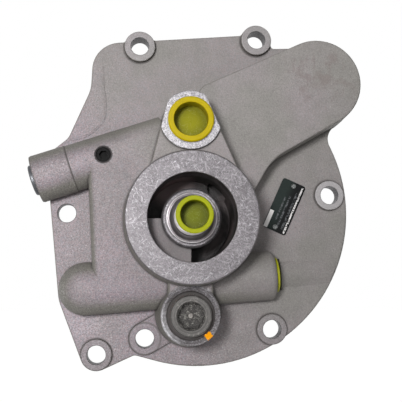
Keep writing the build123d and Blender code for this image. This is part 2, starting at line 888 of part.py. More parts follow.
relief_seat_top = relief_chamber_floor + relief_seat_thickness
relief_seal_top = relief_boss_height - relief_recess_depth + relief_seal_thickness
relief_plug_bottom = relief_seal_top - relief_plug_thread_length
relief_socket_floor = relief_seal_top + relief_plug_head_height - relief_plug_socket_depth
relief_guide_top = relief_socket_floor - relief_socket_web
relief_cone_height = relief_poppet_radius - relief_seat_bore - relief_seat_chamfer
relief_shoulder = relief_seat_top + relief_cone_height + relief_poppet_rim


def relief_seat():
    inner = relief_seat_bore
    return Pos(*relief_centre, 0) * turned([
        (inner, relief_chamber_floor),
        (relief_chamber_radius, relief_chamber_floor),
        (relief_chamber_radius, relief_seat_top),
        (inner + relief_seat_chamfer, relief_seat_top),
        (inner, relief_seat_top - relief_seat_chamfer),
    ])


def relief_poppet():
    # Its cone runs parallel to the seat's, just clear of it
    tip_radius = relief_seat_bore - 1.0
    tip = relief_seat_top - relief_seat_chamfer - 1.0 + relief_seat_gap
    stem_top = relief_guide_top - relief_lift - 0.4
    rim_foot = tip + relief_poppet_radius - tip_radius
    return Pos(*relief_centre, 0) * turned([
        (0, tip),
        (tip_radius, tip),
        (relief_poppet_radius, rim_foot),
        (relief_poppet_radius, relief_shoulder),
        (relief_stem_radius, relief_shoulder),
        (relief_stem_radius, stem_top - lead_chamfer),
        (relief_stem_radius - lead_chamfer, stem_top),
        (0, stem_top),
    ])


def relief_spring():
    spring = coil(
        relief_spring_wire, relief_spring_radius, relief_shoulder, relief_plug_bottom, relief_spring_turns
    )
    return Pos(*relief_centre, 0) * spring


def relief_plug_seal():
    bottom = relief_boss_height - relief_recess_depth
    return ring(
        relief_centre, relief_plug_head_radius, relief_chamber_radius + fit_slack, bottom, relief_seal_top
    )


def relief_plug():
    head_top = relief_seal_top + relief_plug_head_height
    thread = relief_chamber_radius
    head = relief_plug_head_radius
    body = Pos(*relief_centre, 0) * turned([
        (0, relief_plug_bottom),
        (thread - lead_chamfer, relief_plug_bottom),
        (thread, relief_plug_bottom + lead_chamfer),
        (thread, relief_seal_top),
        (head, relief_seal_top),
        (head, head_top - lead_chamfer),
        (head - lead_chamfer, head_top),
        (0, head_top),
    ])
    guide = post(
        relief_centre, relief_stem_radius + spool_clearance, relief_plug_bottom - overcut, relief_guide_top
    )
    socket = hexagon_post(relief_plug_socket, relief_socket_floor, head_top + overcut, relief_centre)
    inscribed = relief_plug_socket / 2
    lead = Pos(*relief_centre, head_top - relief_socket_lead) * Cone(
        inscribed,
        inscribed + relief_socket_lead,
        relief_socket_lead,
        align=(Align.CENTER, Align.CENTER, Align.MIN),
    )
    nub_top = relief_socket_floor + relief_nub_height
    nub = post(relief_centre, relief_nub_radius, relief_socket_floor - overcut, nub_top)
    nub = fillet(flat_edges(nub, nub_top), relief_nub_height / 2)
    return body - guide - socket - lead + nub


# Spool valve, built with z running from the valve cylinder's end face into it

valve_line = Plane(origin=on_valve(0), z_dir=valve_direction)
spool_end = spool_bore_end - 2 * spool_clearance
spool_start = spool_end - spool_length


def valve_plug():
    outer = -valve_washer_thickness - valve_plug_collar_height
    collar = valve_plug_collar_radius
    body = turned([
        (0, outer),
        (collar - lead_chamfer, outer),
        (collar, outer + lead_chamfer),
        (collar, -valve_washer_thickness),
        (valve_plug_radius, -valve_washer_thickness),
        (valve_plug_radius, valve_plug_depth - lead_chamfer),
        (valve_plug_radius - lead_chamfer, valve_plug_depth),
        (0, valve_plug_depth),
    ])
    socket = hexagon_post(valve_plug_socket, outer - overcut, outer + valve_plug_socket_depth)
    return valve_line * (body - socket)


def valve_plug_washer():
    shape = ring((0, 0), valve_plug_collar_radius, valve_plug_radius + fit_slack, -valve_washer_thickness, 0)
    return valve_line * shape


def valve_spool():
    # Two grooves, one under the gallery plug and one at the feed, which leads on through the core
    groove = spool_radius - spool_land_groove
    spigot_radius, spigot_length = spool_spigot
    body = turned([
        (0, spool_start - spigot_length),
        (spigot_radius, spool_start - spigot_length),
        (spigot_radius, spool_start),
        (spool_radius, spool_start),
        (spool_radius, gallery_plug_distance - 4.0),
        (groove, gallery_plug_distance - 4.0),
        (groove, gallery_plug_distance + 4.0),
        (spool_radius, gallery_plug_distance + 4.0),
        (spool_radius, feed_distance - drilling_radius),
        (groove, feed_distance - drilling_radius),
        (groove, feed_distance + drilling_radius),
        (spool_radius, feed_distance + drilling_radius),
        (spool_radius, spool_end),
        (spool_bore_radius, spool_end),
        (spool_bore_radius, feed_distance - 3.0),
        (0, feed_distance - 3.0),
    ])
    for across in (Axis.X, Axis.Y):
        reach = across.direction * spool_radius
        middle = Vector(0, 0, feed_distance)
        body -= rod(middle - reach, middle + reach, spool_bore_radius / 2)
    return valve_line * body


def spool_spring():
    return valve_line * coil(
        spool_spring_wire, spool_spring_radius, valve_plug_depth, spool_start, spool_spring_turns
    )


# Gear pump, hanging below the mounting face

body_back = -2 * (block_length + running_clearance) - gear_width
gear_top = -block_length - running_clearance
gear_bottom = gear_top - gear_width
gear_centres = [drive_centre, driven_centre]
bush_radius = journal_radius + bush_wall
seal_reach = gear_bore_radius + seal_groove_width / 2 + seal_groove_wall
port_seal_reach = pump_port_radius + seal_groove_width / 2 + seal_groove_wall
front_seal_belt = [
    (*drive_centre, seal_reach),
    (*inlet_centre, port_seal_reach),
    (*driven_centre, seal_reach),
    (*outlet_centre, port_seal_reach),
]
rear_seal_belt = [(*drive_centre, seal_reach), (*driven_centre, seal_reach)]


def band(circles, width, bottom, top):
    # Belt-shaped ring of this width
    face = belt(grown(circles, width / 2)) - belt(grown(circles, -width / 2))
    return Pos(0, 0, bottom) * extrude(face, top - bottom)


def pump_body():
    body = Pos(0, 0, body_back) * extrude(belt(pump_body_belt), -body_back)
    for centre in gear_centres:
        body -= post(centre, gear_bore_radius, body_back - overcut, overcut)
    slot_middle = (gear_top + gear_bottom) / 2
    slot_height = 2 * pump_port_radius
    for centre in (inlet_centre, outlet_centre):
        reach = abs(centre[1] - gear_middle[1]) / 2
        body -= post(centre, pump_port_radius, slot_middle - pump_port_radius, overcut)
        slot_centre = (centre[0] + gear_middle[0]) / 2, (centre[1] + gear_middle[1]) / 2
        body -= Pos(*slot_centre, slot_middle) * Box(port_slot_width, 2 * reach, slot_height)
    for bolt in body_bolts:
        body -= post(bolt, body_bolt_radius + body_bolt_clearance, body_back - overcut, overcut)
    for dowel in (upper_dowel, lower_dowel):
        body -= post(dowel, dowel_radius + fit_slack, -dowel_length / 2 - 1.0, overcut)
        body -= post(dowel, dowel_radius + fit_slack, body_back - overcut, body_back + dowel_length / 2 + 1.0)
    body -= band(front_seal_belt, seal_groove_width, -seal_groove_depth, overcut)
    return body - band(rear_seal_belt, seal_groove_width, body_back - overcut, body_back + seal_groove_depth)


def body_seals():
    width = seal_groove_width - 2 * fit_slack
    front = band(front_seal_belt, width, fit_slack - seal_groove_depth, 0)
    rear = band(rear_seal_belt, width, body_back, body_back + seal_groove_depth - fit_slack)
    return together([front, rear])


def bearing_block(bottom, top):
    shape = post(drive_centre, gear_bore_radius - fit_slack, bottom, top)
    shape += post(driven_centre, gear_bore_radius - fit_slack, bottom, top)
    for centre in gear_centres:
        shape -= post(centre, bush_radius + fit_slack, bottom - overcut, top + overcut)
    return shape


def front_bearing_block():
    return bearing_block(-block_length, 0)


def rear_bearing_block():
    return bearing_block(body_back, body_back + block_length)


def bushes(bottom, top):
    rings = [
        ring(centre, bush_radius, journal_radius + journal_clearance, bottom, top) for centre in gear_centres
    ]
    return together(rings)


def front_bushes():
    return bushes(-block_length + lead_chamfer, -lead_chamfer)


def rear_bushes():
    return bushes(body_back + lead_chamfer, body_back + block_length - lead_chamfer)


def spur_gear(teeth, module, pressure, backlash, bottom, top, first_tooth):
    # Involute flanks from the base circle out, straight to the root below it
    pitch_radius = teeth * module / 2
    base_radius = pitch_radius * math.cos(math.radians(pressure))
    tip_radius = pitch_radius + module
    root_radius = pitch_radius - 1.25 * module
    step = 2 * math.pi / teeth
    lean = math.radians(pressure)
    pitch_half = (math.pi * module / 2 - backlash) / (2 * pitch_radius)
    base_half = pitch_half + math.tan(lean) - lean
    last_roll = math.sqrt((tip_radius / base_radius) ** 2 - 1)
    rolls = [last_roll * i / 6 for i in range(7)]

    def flank_point(middle, roll, side):
        half = base_half - roll + math.atan(roll)
        radius = base_radius * math.hypot(1, roll)
        return rim_point((0, 0, radius), middle + side * half)

    edges = []
    for tooth in range(teeth):
        middle = math.radians(first_tooth) + tooth * step
        rising = [flank_point(middle, roll, -1) for roll in rolls]
        falling = [flank_point(middle, roll, 1) for roll in reversed(rolls)]
        root_start = rim_point((0, 0, root_radius), middle + base_half)
        root_middle = rim_point((0, 0, root_radius), middle + step / 2)
        root_end = rim_point((0, 0, root_radius), middle + step - base_half)
        edges.append(Spline(*rising))
        edges.append(ThreePointArc(rising[-1], rim_point((0, 0, tip_radius), middle), falling[0]))
        edges.append(Spline(*falling))
        edges.append(Line(falling[-1], root_start))
        edges.append(ThreePointArc(root_start, root_middle, root_end))
        edges.append(Line(root_end, flank_point(middle + step, 0, -1)))
    return Pos(0, 0, bottom) * extrude(make_face(edges), top - bottom)


def pump_gear(first_tooth):
    return spur_gear(
        tooth_count, tooth_module, pressure_angle, tooth_backlash, gear_bottom, gear_top, first_tooth
    )


# Levels of the rear end, counted from the body backwards

cover_back = body_back - rear_cover_thickness
pilot_back = cover_back - pilot_height
circlip_bottom = pilot_back + circlip_thickness
seal_bottom = circlip_bottom + circlip_thickness + fit_slack
wheel_top = pilot_back - gear_gap
wheel_bottom = wheel_top - input_gear_width
washer_bottom = wheel_bottom - washer_thickness
nut_bottom = washer_bottom - nut_height
shaft_end = nut_bottom - 3.0
wheel_middle = (wheel_top + wheel_bottom) / 2


def rear_cover():
    outline = belt(pump_body_belt)
    plate = Pos(0, 0, cover_back) * extrude(outline, rear_cover_thickness)
    plate = chamfer(flat_edges(plate, cover_back), 1.5)
    pilot = post(drive_centre, pilot_radius, pilot_back, cover_back + overcut)
    plate += chamfer(flat_edges(pilot, pilot_back), 1.0)
    plate -= post(
        drive_centre, journal_radius + shaft_hole_clearance, pilot_back - overcut, body_back + overcut
    )
    plate -= post(drive_centre, shaft_seal_radius, pilot_back - overcut, seal_bottom + shaft_seal_width)
    plate -= post(
        drive_centre, shaft_seal_radius + 1.0, circlip_bottom - fit_slack, circlip_bottom + circlip_thickness
    )
    for bolt in body_bolts:
        plate -= post(bolt, body_bolt_radius + body_bolt_clearance, cover_back - overcut, body_back + overcut)
    for dowel in (upper_dowel, lower_dowel):
        plate -= post(
            dowel, dowel_radius + fit_slack, body_back - dowel_length / 2 - 1.0, body_back + overcut
        )
    return plate


def shaft_seal():
    outer = shaft_seal_radius - fit_slack
    lip = journal_radius + journal_clearance
    top = seal_bottom + shaft_seal_width
    return Pos(*drive_centre, 0) * turned([
        (lip + 1.0, seal_bottom),
        (outer, seal_bottom),
        (outer, top),
        (outer - 1.2, top),
        (outer - 1.2, seal_bottom + 2.0),
        (lip + 1.8, seal_bottom + 2.0),
        (lip + 1.4, top - 1.5),
        (lip, top - 2.5),
        (lip + 0.6, seal_bottom + 1.6),
    ])


def seal_circlip():
    # Snap ring with two pierced lugs beside its gap
    outer = shaft_seal_radius + 1.0 - fit_slack
    bottom = circlip_bottom
    top = circlip_bottom + circlip_thickness - fit_slack
    shape = ring((0, 0), outer, outer - circlip_width, bottom, top)
    gap = Box(outer, circlip_gap, outer, align=(Align.MIN, Align.CENTER, Align.CENTER))
    shape -= Pos(outer / 2, 0, bottom) * gap
    for side in (1, -1):
        lug = (outer - 1.5 * circlip_lug_radius, side * (circlip_gap / 2 + circlip_lug_radius - fit_slack))
        shape += post(lug, circlip_lug_radius, bottom, top)
        shape -= post(lug, circlip_lug_hole_radius, bottom - overcut, top + overcut)
    return Pos(*drive_centre, 0) * shape


def dowel_pins():
    pins = []
    for dowel in (upper_dowel, lower_dowel):
        for level in (0, body_back):
            pin = post(dowel, dowel_radius, level - dowel_length / 2, level + dowel_length / 2)
            pins.append(chamfer(pin.edges().filter_by(GeomType.CIRCLE), lead_chamfer / 2))
    return together(pins)


def hexagon_head(across_flats, bottom, top, centre, bevelled):
    # Hexagon with its corners bevelled off on the side at this height
    disc = post(centre, 0.565 * across_flats, bottom, top)
    disc = chamfer(flat_edges(disc, bevelled), 0.09 * across_flats)
    return hexagon_post(across_flats, bottom, top, centre) & disc


def housing_bolts():
    head_top = cover_back - bolt_washer_thickness
    head_bottom = head_top - bolt_head_height
    tip = body_bolt_depth - 2.0
    bolts = []
    for bolt in body_bolts:
        shank = post(bolt, body_bolt_radius, head_top - overcut, tip)
        shank = chamfer(flat_edges(shank, tip), lead_chamfer)
        bolts.append(hexagon_head(bolt_head_across_flats, head_bottom, head_top, bolt, head_bottom) + shank)
    return together(bolts)


def bolt_washers():
    top = cover_back
    inner = body_bolt_radius + body_bolt_clearance / 2
    rings = [ring(bolt, bolt_washer_radius, inner, top - bolt_washer_thickness, top) for bolt in body_bolts]
    return together(rings)


def key_block(width, length, bottom, top):
    # Parallel key with round ends, lying in the top of the shaft
    block = Box(width, top - bottom, length, align=(Align.CENTER, Align.MIN, Align.CENTER))
    block = fillet(block.edges().filter_by(Axis.Y), width / 2 - 0.05)
    return Pos(drive_centre[0], drive_centre[1] + bottom, wheel_middle) * block


key_floor = gear_seat_radius - key_sink
key_top = key_floor + key_size


def shaft_key():
    return key_block(key_size, key_length, key_floor, key_top)


def drive_shaft():
    seat_bottom = wheel_bottom + 0.5
    front_end = -journal_end_gap
    bar = turned([
        (0, shaft_end),
        (shaft_thread_radius - lead_chamfer, shaft_end),
        (shaft_thread_radius, shaft_end + lead_chamfer),
        (shaft_thread_radius, seat_bottom),
        (gear_seat_radius - lead_chamfer, seat_bottom),
        (gear_seat_radius, seat_bottom + lead_chamfer),
        (gear_seat_radius, wheel_top),
        (journal_radius, wheel_top),
        (journal_radius, front_end - lead_chamfer),
        (journal_radius - lead_chamfer, front_end),
        (0, front_end),
    ])
    shaft = Pos(*drive_centre, 0) * (bar + pump_gear(0))
    slack = fit_slack
    return shaft - key_block(key_size + 2 * slack, key_length + 2 * slack, key_floor - slack, key_top)


def driven_gear():
    front_end = -journal_end_gap
    back_end = body_back + journal_end_gap
    bar = turned([
        (0, back_end),
        (journal_radius - lead_chamfer, back_end),
        (journal_radius, back_end + lead_chamfer),
        (journal_radius, front_end - lead_chamfer),
        (journal_radius - lead_chamfer, front_end),
        (0, front_end),
    ])
    return Pos(*driven_centre, 0) * (bar + pump_gear(180 / tooth_count))


def input_gear():
    wheel = spur_gear(
        input_tooth_count,
        input_module,
        input_pressure_angle,
        tooth_backlash,
        wheel_bottom,
        wheel_top,
        90,
    )
    half_web = input_web_thickness / 2
    wheel -= ring((0, 0), input_rim_radius, input_hub_radius, wheel_middle + half_web, wheel_top + overcut)
    wheel -= ring((0, 0), input_rim_radius, input_hub_radius, wheel_bottom - overcut, wheel_middle - half_web)
    reach = (input_rim_radius + input_hub_radius) / 2
    for i in range(input_hole_count):
        hole = rim_point((0, 0, reach), 2 * math.pi * i / input_hole_count)
        wheel -= post((hole.X, hole.Y), input_hole_radius, wheel_bottom, wheel_top)
    wheel -= post((0, 0), gear_seat_radius + fit_slack, wheel_bottom - overcut, wheel_top + overcut)
    standing = (Align.CENTER, Align.MIN, Align.CENTER)
    keyway = Box(key_size + 2 * fit_slack, key_top + 0.3, 2 * input_gear_width, align=standing)
    wheel -= Pos(0, 0, wheel_middle) * keyway
    return Pos(*drive_centre, 0) * wheel


def shaft_washer():
    return ring(drive_centre, washer_radius, shaft_thread_radius + 0.3, washer_bottom, wheel_bottom)


def shaft_nut():
    shape = hexagon_head(nut_across_flats, nut_bottom, washer_bottom, drive_centre, nut_bottom)
    return shape - post(
        drive_centre, shaft_thread_radius + fit_slack, nut_bottom - overcut, washer_bottom + overcut
    )


makers = [
    pump_cover,
    filter_nipple,
    nipple_cap,
    upper_port_cap,
    side_port_cap,
    gallery_plug,
    nameplate,
    nameplate_pins,
    relief_plug,
    relief_plug_seal,
    relief_seat,
    relief_poppet,
    relief_spring,
    valve_plug,
    valve_plug_washer,
    valve_spool,
    spool_spring,
    pump_body,
    body_seals,
    front_bearing_block,
    rear_bearing_block,
    front_bushes,
    rear_bushes,
    rear_cover,
    shaft_seal,
    seal_circlip,
    dowel_pins,
    housing_bolts,
    bolt_washers,
    drive_shaft,
    driven_gear,
    input_gear,
    shaft_key,
    shaft_washer,
    shaft_nut,
]

# Stood upright: the mounting face becomes the plane y = 0 and the filter side looks along -y
upright = Plane(origin=(0, 0, 0), x_dir=(1, 0, 0), z_dir=(0, -1, 0))
os.makedirs("parts", exist_ok=True)
for make in makers:
    export_step(upright.location * make(), "parts/" + make.__name__ + ".step")
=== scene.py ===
import math
from types import SimpleNamespace

import bpy
import numpy as np
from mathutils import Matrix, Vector


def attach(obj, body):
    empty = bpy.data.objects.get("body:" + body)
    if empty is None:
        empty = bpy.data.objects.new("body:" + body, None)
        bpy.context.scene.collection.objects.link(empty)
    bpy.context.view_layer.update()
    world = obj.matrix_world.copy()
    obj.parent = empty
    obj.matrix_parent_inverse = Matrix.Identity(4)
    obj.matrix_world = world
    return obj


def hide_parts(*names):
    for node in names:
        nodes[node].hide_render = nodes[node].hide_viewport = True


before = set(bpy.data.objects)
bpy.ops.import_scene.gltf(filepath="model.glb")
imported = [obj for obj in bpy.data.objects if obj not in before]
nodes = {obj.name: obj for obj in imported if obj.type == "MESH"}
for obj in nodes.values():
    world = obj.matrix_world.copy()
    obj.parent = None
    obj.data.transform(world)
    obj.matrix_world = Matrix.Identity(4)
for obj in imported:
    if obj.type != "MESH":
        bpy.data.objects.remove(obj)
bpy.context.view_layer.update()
print("frame loaded:", len(nodes), "nodes")

mm = 0.001

# Places on the pump in mm: x to the right, z up, and h out of the front, so h = -y
ringCentre = (0.0, 0.0)
portCentre = (-1.2, 77.2)
reliefCentre = (-0.3, -76.3)
plugCentre = (-70.73, 52.39)
plateCentre = (82.5, 14.0)
plateLean = 65.7
driveCentre = (19.5, -24.806)
valveEnd = (-126.3, 33.8)
valveLean = 18.5
lobeCentre = (108.3, 117.2)
tallBolts = [(-42.3, 151.3), (58.9, 159.6)]
lowBolts = [(121.7, 23.9), (70.5, -89.8), (-75.6, -109.8), (-36.0, -96.8)]
leftBolt = (-101.9, 7.0)


# Shader tools

class Wire:
    # A socket that takes part in sums: each operator adds one Math node to its finish

    def __init__(self, finish, socket):
        self.finish = finish
        self.socket = socket

    def __add__(self, other):
        return self.finish.math("ADD", self, other)

    def __radd__(self, other):
        return self.finish.math("ADD", other, self)

    def __sub__(self, other):
        return self.finish.math("SUBTRACT", self, other)

    def __rsub__(self, other):
        return self.finish.math("SUBTRACT", other, self)

    def __mul__(self, other):
        return self.finish.math("MULTIPLY", self, other)

    def __rmul__(self, other):
        return self.finish.math("MULTIPLY", other, self)

    def __truediv__(self, other):
        return self.finish.math("DIVIDE", self, other)

    def __neg__(self):
        return self.finish.math("MULTIPLY", self, -1.0)

    def __abs__(self):
        return self.finish.math("ABSOLUTE", self)


class Finish:
    # One material and the nodes behind its shader

    def __init__(self, name):
        self.material = bpy.data.materials.new(name)
        self.material.use_nodes = True
        self.tree = self.material.node_tree
        self.tree.nodes.clear()
        place = self.node("ShaderNodeTexCoord", {}, {}, "Object")
        self.here = self.shaded(place, 1 / mm)
        self.flat = self.stretched(self.here, (1, 0, 1))
        self.x, y, self.z = self.parts(self.here)
        self.h = -y

    def add(self, kind, settings, sockets):
        # Any node: its settings first, then its sockets' values or links
        made = self.tree.nodes.new(kind)
        for key, value in settings.items():
            setattr(made, key, value)
        for key, value in sockets.items():
            socket = made.inputs[key]
            if isinstance(value, Wire):
                self.tree.links.new(value.socket, socket)
            elif socket.type == "RGBA":
                socket.default_value = (*value, 1.0)
            else:
                socket.default_value = value
        return made

    def node(self, kind, settings, sockets, output=0):
        return Wire(self, self.add(kind, settings, sockets).outputs[output])

    def math(self, operation, *values):
        return self.node("ShaderNodeMath", {"operation": operation}, dict(enumerate(values)))

    def parts(self, vector):
        # The three numbers of a vector
        made = self.add("ShaderNodeSeparateXYZ", {}, {0: vector})
        return [Wire(self, output) for output in made.outputs]

    def vector(self, x, y=0.0, z=0.0):
        # The other way round: three numbers joined
        return self.node("ShaderNodeCombineXYZ", {}, {0: x, 1: y, 2: z})

    def smooth(self, value, low, high):
        # 0 below low, 1 above high, smooth between; low may be the higher one
        return self.node(
            "ShaderNodeMapRange",
            {"interpolation_type": "SMOOTHSTEP"},
            {"Value": value, "From Min": low, "From Max": high, "To Min": 0.0, "To Max": 1.0},
        )

    def between(self, value, low, high, soft=0.1):
        # 1 from low to high, falling to 0 over the soft width on both sides
        return self.smooth(value, low - soft, low) * self.smooth(value, high + soft, high)

    def least(self, first, *others):
        for other in others:
            first = self.math("MINIMUM", first, other)
        return first

    def most(self, first, *others):
        for other in others:
            first = self.math("MAXIMUM", first, other)
        return first

    def blended(self, factor, first, second):
        # A number that goes from the first to the second value with the factor
        return first + factor * (second - first)

    def mix(self, factor, first, second):
        # Two colours, all of the second where the factor is 1
        return self.node("ShaderNodeMix", {"data_type": "RGBA"}, {0: factor, 6: first, 7: second}, 2)

    def shaded(self, colour, value):
        # The colour or vector times a number
        return self.node("ShaderNodeVectorMath", {"operation": "SCALE"}, {0: colour, "Scale": value})

    def stretched(self, vector, factors):
        # The vector times three factors, one for each axis
        return self.node("ShaderNodeVectorMath", {"operation": "MULTIPLY"}, {0: vector, 1: factors})

    def apart(self, first, second):
        # Distance between two points
        return self.node("ShaderNodeVectorMath", {"operation": "DISTANCE"}, {0: first, 1: second}, "Value")

    def distance(self, point):
        # Distance in mm from a point
        return self.apart(self.here, point)

    def reach(self, centre):
        # Distance in mm from an axis that runs along y through this point
        return self.apart(self.flat, (centre[0], 0, centre[1]))

    def angle(self, centre):
        # Angle about an axis that runs along y, in turns
        return self.math("ARCTAN2", self.z - centre[1], self.x - centre[0]) / (2 * math.pi)

    def turned(self, centre, lean):
        # Coordinates in mm with the origin at the centre and x along this lean in the xz plane
        place, turn = (centre[0], 0, centre[1]), (0, -math.radians(lean), 0)
        sockets = {"Vector": self.here, "Location": place, "Rotation": turn}
        return self.node("ShaderNodeMapping", {"vector_type": "TEXTURE"}, sockets)

    def leaning(self, lean, seed):
        # Coordinates in mm turned by this lean, and shifted so that each seed has its own pattern
        place, turn = (seed, seed, seed), (0, math.radians(lean), 0)
        return self.node("ShaderNodeMapping", {}, {"Vector": self.here, "Location": place, "Rotation": turn})

    def noise(self, scale, detail=2.0, rough=0.5, vector=None, distortion=0.0):
        look = {"Scale": scale, "Detail": detail, "Roughness": rough, "Distortion": distortion}
        return self.node("ShaderNodeTexNoise", {}, {"Vector": vector or self.here, **look})

    def cells(self, scale, vector=None):
        # Distance from the nearest of many scattered points
        return self.node("ShaderNodeTexVoronoi", {}, {"Vector": vector or self.here, "Scale": scale})

    def soft(self, radius, samples=6):
        # Normals that round off every edge by this radius in mm
        return self.node("ShaderNodeBevel", {"samples": samples}, {"Radius": radius * mm})

    def bump(self, height, depth, normal=None):
        sockets = {"Height": height, "Distance": depth * mm, "Strength": 1.0}
        if normal:
            sockets["Normal"] = normal
        return self.node("ShaderNodeBump", {}, sockets)

    def close(self, **sockets):
        # The shader itself; fixed numbers go straight on its sockets
        named = {key.replace("_", " "): value for key, value in sockets.items()}
        shader = self.node("ShaderNodeBsdfPrincipled", {}, named)
        self.add("ShaderNodeOutputMaterial", {}, {"Surface": shader})
        return self.material


def scratches(f, lean, density, width, seed):
    # Short fine lines: cells stretched a lot along one direction, kept only near their middles
    cells = f.cells(density, f.stretched(f.leaning(lean, seed), (1.0, 1.0, 0.14)))
    return f.smooth(cells, width, 0.3 * width)


def strokeNoise(f, lean, seed):
    # Noise drawn out along one direction, so that a threshold on it leaves short strokes
    return f.noise(0.95, 3.0, 0.55, f.stretched(f.leaning(lean, seed), (1.0, 1.0, 0.24)), 0.6)


def wear(material, *names):
    # Puts one finish on several CAD nodes
    for name in names:
        slots = nodes[name].data.materials
        slots.clear()
        slots.append(material)


# The casting

cast = {
    "colour": (0.234, 0.223, 0.209),
    "tint": (0.322, 0.253, 0.276),
    "coolTint": (0.268, 0.256, 0.288),
    "olive": (0.200, 0.190, 0.170),
    "crease": (0.050, 0.045, 0.042),
    "machined": (0.146, 0.135, 0.143),
    "bright": (0.74, 0.73, 0.76),
    "sparkle": (0.62, 0.60, 0.60),
    "shade": (0.105, 0.095, 0.092),
    "grooveDirt": (0.030, 0.027, 0.025),
    "webGrey": (0.115, 0.105, 0.107),
    "oiled": (0.009, 0.007, 0.007),
    "oilSheen": (0.420, 0.330, 0.330),
    "smudge": (0.150, 0.112, 0.106),
    "paint": (0.86, 0.33, 0.004),
    "softEdge": 1.0,
    "creaseReach": 2.3,
    # Marks of the cutter as lean in degrees and seed, the lines with density and width in between
    "strokes": [(28.0, 3.0), (-44.0, 11.0), (82.0, 17.0)],
    "furrows": [(-15.0, 23.0), (60.0, 31.0)],
    "lines": [(35.0, 0.42, 0.13, 1.0), (-50.0, 0.36, 0.12, 7.0), (80.0, 0.30, 0.11, 13.0)],
    # Cut faces as lowest and highest h, then nearest and farthest from their axis
    "ringFace": (67.15, 69.0, 34.0, 60.0),
    "ringEdge": (66.9, 67.8, 51.4, 53.0),
    "nippleSeat": (53.8, 57.0, 0.0, 25.0),
    "portFace": (61.9, 63.0, 0.0, 25.0),
    "reliefRim": (48.4, 53.0, 18.5, 24.5),
    "groove": (46.0, 49.2, 16.2, 19.6),
    "tallPads": (14.85, 16.0, 0.0, 14.0),
    "lowPads": (12.9, 13.4, 0.0, 12.4),
    "web": (47.0, 54.5, 23.0, 35.1),
    # Spots as points (x, y, z), the trough's neck as the place (x, z) of an axis along y, and the
    # dab of paint as its middle (x, z) and lean in degrees
    "domeTip": (-101.0, -27.0, -58.0),
    "burr": (-86.0, -12.0, -78.0),
    "rimLight": (-21.0, -50.0, -85.0),
    "upperSheen": (-15.0, -22.0, 31.0),
    "rightSheen": (33.0, -34.0, -12.0),
    "troughNeck": (30.0, 31.0),
    "dab": ((13.9, -92.1), 40.0),
}


def castPlaces(f):
    # Which stretch of the casting is which, as maps from 0 to 1
    h = f.h
    ringReach = f.reach(ringCentre)
    reliefReach = f.reach(reliefCentre)
    tallReach = f.least(*[f.reach(bolt) for bolt in tallBolts])
    lowReach = f.least(*[f.reach(bolt) for bolt in lowBolts])
    holeReach = f.least(tallReach, lowReach, f.reach(leftBolt))

    def band(name, reach, soft=0.1):
        low, high, inner, outer = cast[name]
        return f.between(h, low, high) * f.between(reach, inner, outer, soft)

    # Where the cutter has been
    maps = SimpleNamespace()
    ringFace = band("ringFace", ringReach)
    maps.ringEdge = band("ringEdge", ringReach)
    maps.portFace = band("portFace", f.reach(portCentre))
    maps.reliefRim = band("reliefRim", reliefReach)
    maps.groove = band("groove", reliefReach)
    maps.tallPads = band("tallPads", tallReach)
    maps.lowPads = band("lowPads", lowReach, 0.4)
    maps.bores = f.smooth(holeReach, 8.1, 7.9)
    maps.back = f.smooth(h, 0.25, 0.1)

    # Along the valve cylinder from its end face, and across it from its axis
    lean = math.radians(valveLean)
    right, up = f.x - valveEnd[0], f.z - valveEnd[1]
    valveWay = right * math.cos(lean) + up * math.sin(lean)
    valveAside = up * math.cos(lean) - right * math.sin(lean)
    endReach = f.distance((valveEnd[0], -20.0, valveEnd[1]))
    valveFace = f.smooth(valveWay, 0.3, 0.1) * f.smooth(endReach, 21.0, 20.5)
    raised = f.smooth(h, 11.4, 12.4)
    onValve = f.smooth(valveAside, 24.0, 21.0) * f.smooth(valveWay, 96.0, 70.0) * raised
    # Its upper flank and its foot, which get painted shade
    maps.valveTop = onValve * f.smooth(valveAside, 3.0, 10.0)
    maps.valveFoot = onValve * f.smooth(valveAside, 0.0, -10.0)
    maps.slit = f.between(valveWay, 29.3, 30.6, 0.3) * f.smooth(valveAside, -16.0, -8.0) * raised

    nippleSeat = band("nippleSeat", ringReach)
    faces = f.most(ringFace, nippleSeat, maps.portFace, maps.reliefRim, maps.back, valveFace)
    maps.cut = f.most(faces, maps.bores, f.most(maps.tallPads, maps.lowPads) * 0.35)

    # The pads' feet, where shade is painted, and the cavity and passages, which get painted shade and hold
    # oil
    padFoot = f.most(f.between(tallReach, 13.0, 14.4, 0.5), f.between(lowReach, 12.4, 13.6, 0.5))
    maps.padLine = padFoot * f.smooth(h, 14.9, 13.6) * f.smooth(h, 10.7, 11.1)
    maps.web = band("web", ringReach)
    maps.depth = f.smooth(h, 50.5, 46.0) * f.smooth(ringReach, 35.3, 34.9)
    maps.bowl = f.smooth(h, 66.5, 63.0) * f.between(ringReach, 34.6, 35.4, 0.2)
    maps.trough = f.smooth(f.reach(cast["troughNeck"]), 17.0, 15.0) * f.smooth(h, 28.5, 27.5)
    return maps


